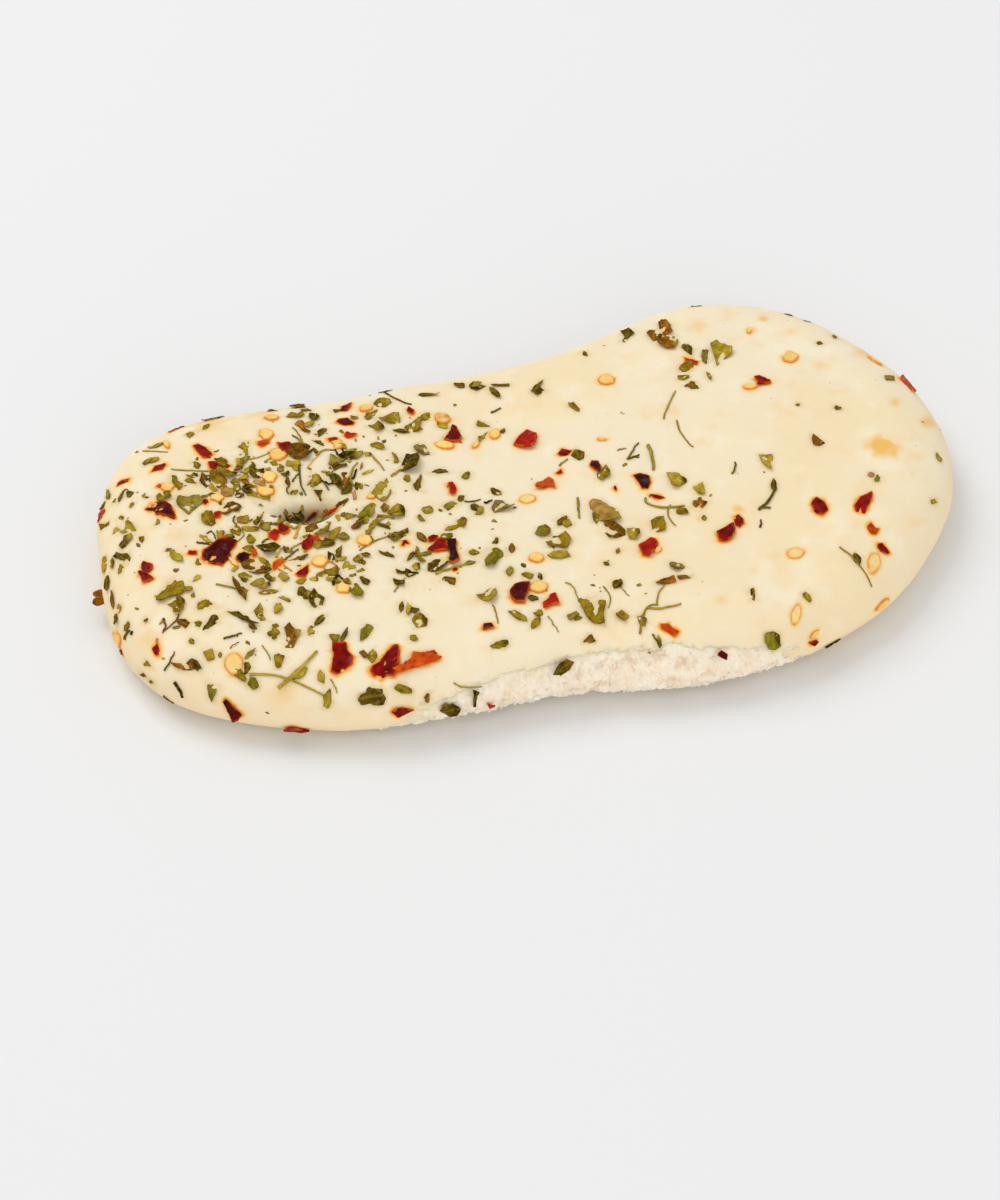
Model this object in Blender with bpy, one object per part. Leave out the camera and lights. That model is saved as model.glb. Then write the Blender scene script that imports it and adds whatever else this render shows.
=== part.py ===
"""Masala kulcha: a thick, soft, oblong flatbread strewn with herb flakes, chilli flakes and chilli seeds.

The bread is one closed body lying on its flat underside, z = 0, with its length along X. Its front edge, -Y,
is torn where it was pulled off its neighbour on the tray, and a finger has poked a pit into its left half.
The larger flakes and seeds are fused to the bread, so that the whole food is one solid.
Sizes are in millimetres, and the finished mesh is scaled to metres.
"""

import math
import random

import bmesh
import bpy
from mathutils import Matrix, Vector, noise
from mathutils.bvhtree import BVHTree

NAME = "kulcha"
METRES = 0.001
WELD = 0.000002  # points nearer than this, in metres, become one

# Size and section of the bread
RIM_RADII = (94, 92, 81, 53, 45, 47, 58, 88, 92, 92, 74, 58, 52, 59, 71, 84)  # every 22.5 degrees from +X
RIM_STEPS = 720
TOP_HEIGHT = 15.5
RIM_HEIGHT = 6.5  # height of the widest line of the side
UPPER_ROUND = 15.0  # how far the rounded edge reaches in over the top
LOWER_ROUND = 8.0  # how far it reaches in under the bread

# How the triangles of the starting ball are shared out
BALL_SUBDIVISIONS = 5
TOP_SHARE = 0.45
BASE_SHARE = 0.08
UPPER_SIDE_SHARE = 0.62  # part of the side's triangles above the widest line
KEPT_SHARE = 0.62  # part of all triangles that is kept, the flattest going first
BASE_SNAP = 0.08  # points lower than this are put back onto the flat base

# Broad hills and hollows of the top: x, y, radius along X, radius along Y, height
HILLS = (
    (-55, -12, 34, 30, 1.0),
    (52, 4, 34, 34, 1.5),
    (-5, 18, 26, 26, -1.8),
    (-57, 33, 8, 4, 0.8),
)
UNEVEN_SIZE = 24.0
UNEVEN_HEIGHT = 0.5

# The poked pit: a steep wall on the near side and a long slope on the far side, bent like a smile
PIT_X = -47.3
PIT_Y = -1.5  # its deepest line at PIT_X
PIT_BEND = 0.07
PIT_HALF_LENGTH = 8.0
PIT_NEAR = 1.5
PIT_FAR = 7.5
PIT_DEPTH = 5.5

# The torn edge: how far it reaches in over the top from the rim at each x, and below zero in under the bread
TEAR_REACH = (
    (-50, -6.0), (-42, -2.0), (-36, -0.4), (-30, 0.3), (-24, 1.1), (-19, 1.9), (-13, 2.3), (-7, 2.1), (-2, 2.7),
    (4, 3.2), (10, 3.9), (15, 4.5), (21, 4.7), (26, 3.1), (31, 2.2), (37, 1.1), (43, 0.2), (47, -0.5), (54, -6.0),
)
TEAR_SOFTNESS = 1.6
FINE_TEAR = (-38, 46)  # x between which the torn edge gets smaller triangles
TEAR_LUMPS = ((7.0, 1.0), (3.2, 1.0))  # size and height of the lumps of torn crumb

# Toppings
EYE = (-110, -537, 520)  # where the spots below were read from, on a level sheet at SHEET_HEIGHT
SHEET_HEIGHT = 14.0
LEAF = {"sides": 6, "thick": 0.9, "lift": 0.1, "rise": 0.9, "ragged": 0.26}
CHILLI = {"sides": 5, "thick": 1.2, "lift": 0.12, "rise": 0.4, "ragged": 0.18}
TWIG = {"sides": 6, "thick": 0.9, "lift": 0.15, "rise": 0.0, "ragged": 0.0}
SEED = {"thick": 1.3, "lift": 0.1}
SMALLEST_WIDTH = 0.9

# The largest toppings: x, y, length, width, turn in degrees
CHILLI_SPOTS = (
    (-66.3, 25.4, 5.3, 2.6, -60), (-76.3, 21.8, 3.1, 1.9, 20), (-77.0, 8.7, 6.2, 4.4, -40),
    (-48.5, 23.0, 3.6, 2.8, -45), (-34.6, 28.8, 3.8, 2.3, -15), (-12.7, 19.8, 4.6, 3.3, 60),
    (2.8, 15.2, 6.0, 4.6, 40), (10.1, 10.1, 3.3, 2.1, 0), (43.9, 34.2, 3.2, 2.0, -40),
    (57.5, 24.7, 3.6, 2.6, -20), (88.5, 17.4, 5.0, 1.6, -70), (-67.0, -6.8, 8.0, 6.2, 35),
    (-82.9, -11.4, 3.2, 2.4, -40), (-55.0, -3.9, 3.2, 2.4, 30), (-48.3, -7.6, 4.4, 2.3, 65),
    (-50.8, -15.9, 3.6, 2.0, 40), (-47.0, -42.4, 8.5, 4.4, 78), (-70.5, -51.8, 7.0, 2.6, -65),
    (-38.6, -45.6, 9.5, 4.6, 60), (-31.1, -46.0, 8.0, 2.8, 10), (-15.9, 3.2, 4.0, 1.8, 100),
    (3.8, 0.8, 4.3, 2.0, 15), (-22.2, -13.8, 4.5, 2.6, 15), (-19.1, -15.7, 7.0, 2.8, 95),
    (-7.5, -30.6, 6.0, 4.6, 55), (-2.1, -34.2, 4.0, 2.8, 50), (15.7, 4.3, 3.5, 2.0, -55),
    (24.6, -2.1, 4.8, 3.0, -60), (21.4, -22.5, 5.6, 4.0, 60), (38.1, -21.5, 5.2, 3.3, 40),
    (41.8, -18.0, 3.7, 1.9, 85), (59.6, -16.8, 6.0, 3.0, 95), (68.8, -18.0, 6.2, 3.0, 50),
    (68.9, -25.7, 3.3, 1.7, 95), (69.4, -32.0, 3.5, 1.6, 110), (20.2, -46.9, 4.8, 2.6, -50),
)
LEAF_SPOTS = (
    (-65.4, 36.3, 4.6, 2.2, 10), (-45.3, 32.8, 4.2, 2.7, 0), (-45.3, 20.8, 5.5, 4.6, 15),
    (-57.4, 24.6, 4.6, 2.0, 75), (-64.2, 16.0, 5.0, 3.8, 40), (-58.5, 11.8, 5.0, 4.4, 80),
    (-71.5, 9.3, 5.4, 4.6, 20), (-62.7, 6.2, 4.6, 3.0, 25), (-68.0, 3.9, 4.7, 2.6, 95),
    (-85.8, 0.5, 4.5, 2.4, 60), (-78.4, -16.2, 6.5, 4.4, 25), (-64.8, -27.1, 8.0, 2.4, -40),
    (-49.6, -24.4, 5.0, 3.4, -60), (-55.8, -34.0, 7.0, 3.0, 80), (-40.6, -35.6, 6.0, 3.0, 70),
    (-56.5, -7.9, 5.5, 3.0, -20), (-60.6, -17.8, 5.0, 3.0, -10), (-78.0, -38.5, 5.8, 3.0, -15),
    (-42.5, -54.0, 6.0, 4.0, 0), (-30.6, 5.2, 7.0, 3.4, 65), (-34.6, -0.2, 4.6, 3.0, 45),
    (-23.0, -19.2, 5.0, 3.4, 20), (-11.0, -18.6, 6.6, 4.0, 95), (-6.4, -4.1, 4.4, 3.6, -10),
    (3.3, -17.2, 5.4, 4.4, 15), (-14.5, -30.2, 4.6, 3.6, 70), (-9.6, -37.0, 4.8, 2.4, -50),
    (6.0, -38.0, 6.0, 4.8, 60), (-3.5, -53.0, 5.4, 2.6, 25), (15.0, -9.8, 6.6, 3.8, -70),
    (15.6, -16.1, 4.2, 3.6, 0), (32.0, -3.3, 4.6, 3.8, -40), (24.8, -16.1, 4.8, 3.0, 70),
    (40.1, -53.9, 5.2, 3.4, 80), (52.2, -1.6, 5.2, 2.2, 80), (16.8, 1.5, 4.2, 2.8, 60),
    (64.5, 3.5, 3.8, 2.4, -60), (40.2, 46.0, 4.8, 2.8, 90), (40.0, 41.4, 4.6, 4.2, 30),
    (31.9, 45.4, 4.4, 2.6, 55), (50.9, 35.8, 7.0, 4.4, 80), (42.1, 32.3, 3.8, 3.2, 20),
    (-25.1, 27.7, 4.4, 3.0, 0), (-20.1, 24.8, 5.0, 3.4, 50), (-23.4, 13.7, 6.0, 4.6, 60),
    (-34.7, 17.9, 5.0, 3.4, 0), (8.8, 32.1, 4.8, 2.6, 50),
)
SEED_SPOTS = (
    (-53.4, 14.3, 3.8, 3.2, 30), (-68.6, -39.5, 4.8, 4.0, 80), (-47.0, -13.6, 3.4, 3.2, 0),
    (-43.2, -22.5, 4.2, 3.6, 60), (-36.7, -8.9, 3.3, 3.2, 0), (-0.6, -2.9, 3.5, 2.8, 0),
    (-3.6, -29.7, 3.7, 3.4, 0), (23.9, 31.6, 3.8, 3.6, 0), (65.6, 31.2, 3.4, 3.0, 60),
    (51.0, -29.9, 3.6, 3.0, 0), (66.5, -35.6, 5.0, 2.9, 70), (64.9, -48.0, 4.0, 2.0, 45),
)
TWIG_SPOTS = (
    (35.7, 20.8, 9.0, 0.9, 60), (-59.0, -47.0, 15.0, 0.9, -30), (49.7, -12.6, 9.0, 1.0, 52),
    (62.8, -36.0, 12.0, 0.9, -78), (-55.8, -44.0, 12.0, 1.4, 42),
)

# A leaf that stands out of the left edge: turn round the rim, height, reach past the rim, length, width
EDGE_LEAF = (0.517, 5.0, 2.7, 6.0, 4.4)

# Smaller flakes strewn by rule: middle x, y, spread along X, along Y, how many
STREWN_PATCHES = (
    (-60, 12, 16, 13, 16),
    (-38, -4, 14, 14, 14),
    (-62, -26, 16, 14, 12),
    (-14, -14, 14, 18, 14),
    (-30, 30, 16, 8, 8),
)
STREWN_LENGTH = (2.2, 3.4)
STREWN_GAP = 3.0
RIM_FLAKES = 16  # flakes that stuck to the rounded edge, all the way round
RIM_FLAKE_ANGLES = (25, 80)  # how far down the rounding they lie, in degrees
STREWN_SEED = 11
SHAPE_SEED = 12

# Colours, 0 to 255, and roughness
COLOURS = {
    "bread": ((245, 229, 196), 0.62),
    "herb": ((92, 96, 42), 0.75),
    "chilli": ((150, 24, 16), 0.35),
    "seed": ((246, 200, 120), 0.45),
}


def smooth(low, high, value):
    """0 below low, 1 above high, and a soft step between them."""
    share = min(1.0, max(0.0, (value - low) / (high - low)))
    return share * share * (3 - 2 * share)


def bell(distance):
    return math.exp(-distance * distance)


def rim_radius(angle):
    """Distance from the middle to the rim: a smooth closed curve through RIM_RADII."""
    count = len(RIM_RADII)
    place = angle / (2 * math.pi) * count
    first = math.floor(place)
    part = place - first
    a, b, c, d = (RIM_RADII[(first + step) % count] for step in (-1, 0, 1, 2))
    bend = 2 * a - 5 * b + 4 * c - d
    twist = 3 * (b - c) + d - a
    return b + 0.5 * part * ((c - a) + part * (bend + part * twist))


def walk_rim():
    """The rim as points spaced evenly along its length, each with its inward direction."""
    fine = 4 * RIM_STEPS
    corners = []
    for step in range(fine + 1):
        angle = 2 * math.pi * step / fine
        corners.append(Vector((math.cos(angle), math.sin(angle), 0)) * rim_radius(angle))
    lengths = [0.0]
    for before, after in zip(corners, corners[1:]):
        lengths.append(lengths[-1] + (after - before).length)
    points = []
    at = 0
    for step in range(RIM_STEPS):
        target = lengths[-1] * step / RIM_STEPS
        while lengths[at + 1] < target:
            at += 1
        part = (target - lengths[at]) / (lengths[at + 1] - lengths[at])
        points.append(corners[at].lerp(corners[at + 1], part))
    inward = []
    for step in range(RIM_STEPS):
        along = points[(step + 1) % RIM_STEPS] - points[step - 1]
        inward.append(Vector((-along.y, along.x, 0)).normalized())
    return points, inward


RIM_POINTS, RIM_INWARD = walk_rim()


def rim(turn):
    """Point and inward direction at a turn of 0 to 1 round the rim."""
    place = (turn % 1.0) * RIM_STEPS
    first = int(place)
    part = place - first
    second = (first + 1) % RIM_STEPS
    first %= RIM_STEPS
    point = RIM_POINTS[first].lerp(RIM_POINTS[second], part)
    return point, RIM_INWARD[first].lerp(RIM_INWARD[second], part)


def pit(x, y):
    past = y - PIT_Y - PIT_BEND * (x - PIT_X) ** 2
    return PIT_DEPTH * bell((x - PIT_X) / PIT_HALF_LENGTH) * bell(past / (PIT_NEAR if past < 0 else PIT_FAR))


def top_height(x, y):
    height = TOP_HEIGHT
    for hill_x, hill_y, along, across, rise in HILLS:
        height += rise * bell(math.hypot((x - hill_x) / along, (y - hill_y) / across))
    height += UNEVEN_HEIGHT * noise.noise(Vector((x, y, 0)) / UNEVEN_SIZE)
    return height - pit(x, y)


def tear_reach(x):
    """How far the tear reaches in over the top at x, from TEAR_REACH."""
    for (left, low), (right, high) in zip(TEAR_REACH, TEAR_REACH[1:]):
        if left <= x < right:
            return low + (high - low) * smooth(left, right, x)
    return TEAR_REACH[0][1]


def tear_weight(x, over_top):
    """1 in the torn edge and 0 on the skin. over_top is how far in over the top a point lies."""
    return smooth(-TEAR_SOFTNESS, TEAR_SOFTNESS, tear_reach(x) - over_top)


def crumb_lumps(point):
    return sum(high * noise.noise(point / size) for size, high in TEAR_LUMPS)


def bread_point(share, turn):
    """A point of the bread. share runs from 0 in the middle of the top to 1 in the middle of the base."""
    edge, inward = rim(turn)
    if share <= TOP_SHARE:
        flat = (edge + inward * UPPER_ROUND) * math.sqrt(share / TOP_SHARE)
        return Vector((flat.x, flat.y, top_height(flat.x, flat.y)))
    if share >= 1 - BASE_SHARE:
        return (edge + inward * LOWER_ROUND) * math.sqrt(max(0.0, 1 - share) / BASE_SHARE)
    down = (share - TOP_SHARE) / (1 - BASE_SHARE - TOP_SHARE)
    if down < UPPER_SIDE_SHARE:
        angle = math.pi / 2 * down / UPPER_SIDE_SHARE
        over = UPPER_ROUND * (1 - math.sin(angle))
        flat = edge + inward * over
        height = RIM_HEIGHT + (top_height(flat.x, flat.y) - RIM_HEIGHT) * math.cos(angle)
    else:
        angle = math.pi / 2 * (down - UPPER_SIDE_SHARE) / (1 - UPPER_SIDE_SHARE)
        over = LOWER_ROUND * (1 - math.cos(angle))
        flat = edge + inward * over
        height = RIM_HEIGHT * (1 - math.sin(angle))
        over = -over
    point = Vector((flat.x, flat.y, height))
    if edge.y < 0:
        torn = tear_weight(edge.x, over) * smooth(0.0, 2.5, height)
        point -= inward * (torn * crumb_lumps(point))
    return point


def ball_to_bread(direction):
    turn = math.atan2(direction.y, direction.x) / (2 * math.pi)
    return bread_point((1 - direction.z) / 2, turn)


def needs_fine(direction):
    """True in the torn edge and in the pit, where the triangles are split once more."""
    point = ball_to_bread(direction)
    if point.z < 0.5:
        return False
    in_pit = pit(point.x, point.y) > 0.25 * PIT_DEPTH and point.z > RIM_HEIGHT
    at_edge = point.y < -45 and point.z < TOP_HEIGHT - 2
    return in_pit or (at_edge and FINE_TEAR[0] < point.x < FINE_TEAR[1])


def make_bread():
    """The bare bread: a ball of even triangles, its points moved onto the bread's surface."""
    mesh = bmesh.new()
    bmesh.ops.create_icosphere(mesh, subdivisions=BALL_SUBDIVISIONS, radius=1.0)
    split = [e for e in mesh.edges if needs_fine((e.verts[0].co + e.verts[1].co).normalized())]
    bmesh.ops.subdivide_edges(mesh, edges=split, cuts=1, use_grid_fill=True)
    bmesh.ops.triangulate(mesh, faces=mesh.faces)
    for vert in mesh.verts:
        vert.co = ball_to_bread(vert.co.normalized())
    bmesh.ops.recalc_face_normals(mesh, faces=mesh.faces)
    return thin_out(mesh)


def thin_out(mesh):
    """Merges the flattest triangles, most of them in the base, and keeps the base flat."""
    data = bpy.data.meshes.new("thinned")
    mesh.to_mesh(data)
    holder = bpy.data.objects.new("thinned", data)
    bpy.context.scene.collection.objects.link(holder)
    fewer = holder.modifiers.new("fewer", "DECIMATE")
    fewer.ratio = KEPT_SHARE
    bpy.context.view_layer.update()
    thinned = holder.evaluated_get(bpy.context.evaluated_depsgraph_get())
    mesh.clear()
    mesh.from_mesh(thinned.data)
    bpy.data.objects.remove(holder)
    bpy.data.meshes.remove(data)
    for vert in mesh.verts:
        if vert.co.z < BASE_SNAP:
            vert.co.z = 0.0
    print(f"{len(mesh.faces)} triangles in the bare bread")
    return mesh


class Surface:
    """Finds places on the bare bread."""

    def __init__(self, mesh):
        self.tree = BVHTree.FromBMesh(mesh)

    def seen(self, x, y):
        """The place behind a spot on the level sheet, as read from EYE. A spot past the edge moves in."""
        eye = Vector(EYE)
        hit = None
        while hit is None:
            hit, normal, _, _ = self.tree.ray_cast(eye, (Vector((x, y, SHEET_HEIGHT)) - eye).normalized())
            x *= 0.995
            y *= 0.995
        return hit, normal

    def below(self, x, y):
        hit, normal, _, _ = self.tree.ray_cast(Vector((x, y, 100)), Vector((0, 0, -1)))
        return hit, normal

    def on_rim(self, turn, angle):
        """The place on the rounded edge that lies angle degrees down from the top."""
        edge, inward = rim(turn)
        out = Vector((0, 0, math.cos(math.radians(angle)))) - inward * math.sin(math.radians(angle))
        middle = edge + inward * UPPER_ROUND + Vector((0, 0, RIM_HEIGHT))
        hit, normal, _, _ = self.tree.ray_cast(middle + out * 60, -out)
        return hit, normal

    def lay(self, mesh, spot, normal, turn):
        """Lays a flat piece on the bread: each point keeps its own height above the nearest place."""
        along = Matrix.Rotation(math.radians(turn), 3, "Z") @ Vector((1, 0, 0))
        along = (along - normal * along.dot(normal)).normalized()
        across = normal.cross(along)
        for vert in mesh.verts:
            near, up, _, _ = self.tree.find_nearest(spot + along * vert.co.x + across * vert.co.y)
            vert.co = near + up.lerp(normal, 0.5).normalized() * vert.co.z


def flake(kind, length, width, shapes):
    """A flat ragged chip, a little smaller on top than below, with one of its sides curled up."""
    mesh = bmesh.new()
    bmesh.ops.create_cone(
        mesh, cap_ends=True, segments=kind["sides"], radius1=0.5, radius2=0.44, depth=kind["thick"]
    )
    ragged = [1 + shapes.uniform(-kind["ragged"], kind["ragged"]) for _ in range(kind["sides"])]
    rise = shapes.uniform(0, kind["rise"])
    for vert in mesh.verts:
        angle = math.atan2(vert.co.y, vert.co.x) % (2 * math.pi)
        stretch = ragged[round(angle / (2 * math.pi) * kind["sides"]) % kind["sides"]]
        if vert.co.z > 0:
            vert.co.z += rise * (vert.co.y + 0.5)
        vert.co.x *= stretch * length
        vert.co.y *= stretch * max(width, SMALLEST_WIDTH) * 1.1
        vert.co.z += kind["lift"]
    return mesh


def stand_out(mesh, turn, height, reach, length):
    """Sets a flat piece level in the side of the bread, its Y end standing out past the rim."""
    edge, inward = rim(turn)
    middle = edge + inward * (length / 2 - reach) + Vector((0, 0, height))
    along = Vector((inward.y, -inward.x, 0))
    for vert in mesh.verts:
        vert.co = middle + along * vert.co.x - inward * vert.co.y + Vector((0, 0, vert.co.z))


def seed(length, width):
    mesh = bmesh.new()
    bmesh.ops.create_icosphere(mesh, subdivisions=1, radius=0.5)
    bmesh.ops.scale(mesh, verts=mesh.verts, vec=(length, width, SEED["thick"]))
    bmesh.ops.translate(mesh, verts=mesh.verts, vec=(0, 0, SEED["lift"]))
    return mesh


def strewn_places(surface, taken):
    """Spots of the small flakes: a cloud in each patch, none too near another, then some round the rim."""
    draw = random.Random(STREWN_SEED)
    places = []
    for mid_x, mid_y, spread_x, spread_y, count in STREWN_PATCHES:
        left = count
        while left:
            x = draw.gauss(mid_x, spread_x * 0.7)
            y = draw.gauss(mid_y, spread_y * 0.7)
            length = draw.uniform(*STREWN_LENGTH)
            shape = draw.uniform(0.45, 0.8)
            turn = draw.uniform(0, 180)
            spot, normal = surface.below(x, y)
            if spot is None or spot.z < RIM_HEIGHT + 3:
                continue
            if any((spot - other).length < STREWN_GAP for other in taken):
                continue
            taken.append(spot)
            places.append((spot, normal, length, length * shape, turn))
            left -= 1
    for step in range(RIM_FLAKES):
        round_rim = (step + draw.uniform(0.1, 0.9)) / RIM_FLAKES
        spot, normal = surface.on_rim(round_rim, draw.uniform(*RIM_FLAKE_ANGLES))
        length = draw.uniform(*STREWN_LENGTH)
        turn = draw.uniform(0, 180)
        places.append((spot, normal, length, length * 0.6, turn))
    return places


def paint(name):
    """A Principled material of one of the COLOURS."""
    colour, roughness = COLOURS[name]
    material = bpy.data.materials.new(name)
    material.use_nodes = True
    shader = material.node_tree.nodes["Principled BSDF"]
    linear = [((c / 255 + 0.055) / 1.055) ** 2.4 for c in colour]
    shader.inputs["Base Color"].default_value = (*linear, 1)
    shader.inputs["Roughness"].default_value = roughness
    shader.inputs["Metallic"].default_value = 0
    material.diffuse_color = (*linear, 1)
    return material


def to_object(mesh, name, material, collection):
    """Turns a millimetre bmesh into an object in metres."""
    bmesh.ops.scale(mesh, verts=mesh.verts, vec=(METRES, METRES, METRES))
    data = bpy.data.meshes.new(name)
    mesh.to_mesh(data)
    mesh.free()
    data.materials.append(material)
    made = bpy.data.objects.new(name, data)
    collection.objects.link(made)
    return made


def make_toppings(surface, paints, collection):
    shapes = random.Random(SHAPE_SEED)
    taken = []

    def add(name, mesh, spot, normal, turn, paint_name):
        surface.lay(mesh, spot, normal, turn)
        to_object(mesh, name, paints[paint_name], collection)

    tables = (
        ("chilli", CHILLI_SPOTS, CHILLI, "chilli"),
        ("leaf", LEAF_SPOTS, LEAF, "herb"),
        ("twig", TWIG_SPOTS, TWIG, "herb"),
    )
    for name, spots, kind, paint_name in tables:
        for x, y, length, width, turn in spots:
            spot, normal = surface.seen(x, y)
            taken.append(spot)
            add(name, flake(kind, length, width, shapes), spot, normal, turn, paint_name)
    for x, y, length, width, turn in SEED_SPOTS:
        spot, normal = surface.seen(x, y)
        taken.append(spot)
        add("seed", seed(length, width), spot, normal, turn, "seed")
    for spot, normal, length, width, turn in strewn_places(surface, taken):
        add("strewn", flake(LEAF, length, width, shapes), spot, normal, turn, "herb")
    turn, height, reach, length, width = EDGE_LEAF
    leaf = flake(LEAF, width, length / 1.1, shapes)
    stand_out(leaf, turn, height, reach, length)
    to_object(leaf, "edge leaf", paints["herb"], collection)


def pieces_of(mesh):
    """The separate shells of a mesh, each as a set of faces."""
    left = set(mesh.faces)
    shells = []
    while left:
        shell = set()
        edge_of = [left.pop()]
        while edge_of:
            face = edge_of.pop()
            shell.add(face)
            for edge in face.edges:
                for other in edge.link_faces:
                    if other in left:
                        left.remove(other)
                        edge_of.append(other)
        shells.append(shell)
    return shells


def fuse(bread, toppings):
    """Joins the toppings to the bread with one Boolean, and keeps the one outer shell."""
    union = bread.modifiers.new("toppings", "BOOLEAN")
    union.operation = "UNION"
    union.operand_type = "COLLECTION"
    union.collection = toppings
    union.solver = "EXACT"
    union.material_mode = "TRANSFER"
    bpy.context.view_layer.objects.active = bread
    bpy.ops.object.modifier_apply(modifier=union.name)
    for topping in list(toppings.objects):
        bpy.data.objects.remove(topping)
    bpy.data.collections.remove(toppings)
    mesh = bmesh.new()
    mesh.from_mesh(bread.data)
    shells = sorted(pieces_of(mesh), key=len)
    scraps = [face for shell in shells[:-1] for face in shell]
    bmesh.ops.delete(mesh, geom=scraps, context="FACES")
    bmesh.ops.remove_doubles(mesh, verts=mesh.verts, dist=WELD)
    bmesh.ops.dissolve_degenerate(mesh, edges=mesh.edges, dist=WELD)
    bmesh.ops.triangulate(mesh, faces=mesh.faces)
    open_edges = sum(1 for edge in mesh.edges if not edge.is_manifold)
    print(f"{len(mesh.faces)} triangles, {len(shells) - 1} scraps dropped, {open_edges} open edges")
    mesh.to_mesh(bread.data)
    mesh.free()


def main():
    for old in list(bpy.data.objects):
        bpy.data.objects.remove(old)
    parts = bpy.data.collections.new("masala kulcha")
    toppings = bpy.data.collections.new("toppings")
    for collection in (parts, toppings):
        bpy.context.scene.collection.children.link(collection)
    paints = {name: paint(name) for name in COLOURS}
    bare = make_bread()
    surface = Surface(bare)
    bread = to_object(bare, NAME, paints["bread"], parts)
    make_toppings(surface, paints, toppings)
    fuse(bread, toppings)


main()
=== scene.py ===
# %% [markdown]
# # A masala kulcha, strewn with herbs and chilli
#
# A kulcha is a soft, thick flatbread that is patted out by hand and barely browned. This one is
# about 19 cm long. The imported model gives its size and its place, and this script dresses it: a
# waxy skin, a torn crumb along the front edge, and a few hundred flakes, seeds and twigs pressed
# into the top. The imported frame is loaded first, because every piece below is placed in it and has
# to stay inside its box.

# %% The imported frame
import math
import random

import bmesh
import bpy
from mathutils import Matrix, Vector, noise
from mathutils.bvhtree import BVHTree


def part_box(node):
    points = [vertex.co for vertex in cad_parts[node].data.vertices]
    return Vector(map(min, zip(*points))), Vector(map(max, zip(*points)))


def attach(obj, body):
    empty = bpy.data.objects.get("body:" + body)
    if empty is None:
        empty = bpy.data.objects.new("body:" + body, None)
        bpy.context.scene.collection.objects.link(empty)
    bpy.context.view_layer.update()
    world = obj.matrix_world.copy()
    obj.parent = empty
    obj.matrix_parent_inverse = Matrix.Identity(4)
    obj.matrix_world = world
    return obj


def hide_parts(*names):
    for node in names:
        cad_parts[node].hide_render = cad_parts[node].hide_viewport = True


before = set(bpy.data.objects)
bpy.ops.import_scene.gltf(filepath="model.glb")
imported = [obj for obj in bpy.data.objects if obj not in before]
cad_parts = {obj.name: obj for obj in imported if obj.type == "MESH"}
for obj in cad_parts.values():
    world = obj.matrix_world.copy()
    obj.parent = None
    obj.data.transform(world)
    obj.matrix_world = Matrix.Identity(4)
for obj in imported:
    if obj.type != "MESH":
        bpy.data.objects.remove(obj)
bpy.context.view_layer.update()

NODE = "kulcha"
BODY = "root"
MM = 0.001  # one millimetre in metres: sizes below are in millimetres
BOX_LOW, BOX_HIGH = (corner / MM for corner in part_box(NODE))
low, high = ([round(v, 1) for v in corner] for corner in (BOX_LOW, BOX_HIGH))
print("the solid reaches from", low, "to", high, "mm")

# %% [markdown]
# ## The camera
#
# The photograph looks down at about 43 degrees from three quarters of a metre away, with a long
# lens, so the far end of the bread is only a little smaller than the near one. A camera at that
# very spot keeps the outline right, which no amount of shaping would do from another spot. Two
# points are enough: the eye, and what it aims at.

# %% The camera
EYE = Vector((-110, -537, 520))
AIM = Vector((-9.5, -17.8, 0))
LENS = 105
SENSOR = 36


def make_camera():
    data = bpy.data.cameras.new("camera")
    data.lens = LENS
    data.sensor_width = SENSOR
    camera = bpy.data.objects.new("camera", data)
    bpy.context.scene.collection.objects.link(camera)
    camera.location = EYE * MM
    camera.rotation_euler = (AIM - EYE).to_track_quat("-Z", "Y").to_euler()
    bpy.context.scene.camera = camera
    print("camera", round((AIM - EYE).length), "mm from the point it looks at")


make_camera()

# %% [markdown]
# ## Shader maths as Python sums
#
# A node material is a drawing of a formula, and a formula is easier to read as text. The class
# `Wire` stands for one value in a material: adding or multiplying two of them adds the Math node
# that does it. Colours are blended with `blend`, because a Math node would turn them grey, and
# every other node comes from `Finish.node`.

# %% Values that build their own nodes
def linear(colour):
    """A colour of 0 to 255 in the linear numbers that a shader wants."""
    return tuple(((c / 255 + 0.055) / 1.055) ** 2.4 for c in colour) + (1.0,)


class Wire:
    def __init__(self, finish, socket):
        self.finish = finish
        self.socket = socket

    def maths(self, operation, first, second):
        return self.finish.node("ShaderNodeMath", {"operation": operation}, {0: first, 1: second})

    def __add__(self, other):
        return self.maths("ADD", self, other)

    def __radd__(self, other):
        return self.maths("ADD", other, self)

    def __rsub__(self, other):
        return self.maths("SUBTRACT", other, self)

    def __mul__(self, other):
        return self.maths("MULTIPLY", self, other)

    def __rmul__(self, other):
        return self.maths("MULTIPLY", other, self)

    def ramp(self, low, high):
        """0 where this value is low, 1 where it is high, with a soft step between."""
        settings = {"interpolation_type": "SMOOTHSTEP"}
        sockets = {0: self, 1: low, 2: high, 3: 0.0, 4: 1.0}
        return self.finish.node("ShaderNodeMapRange", settings, sockets)


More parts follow.
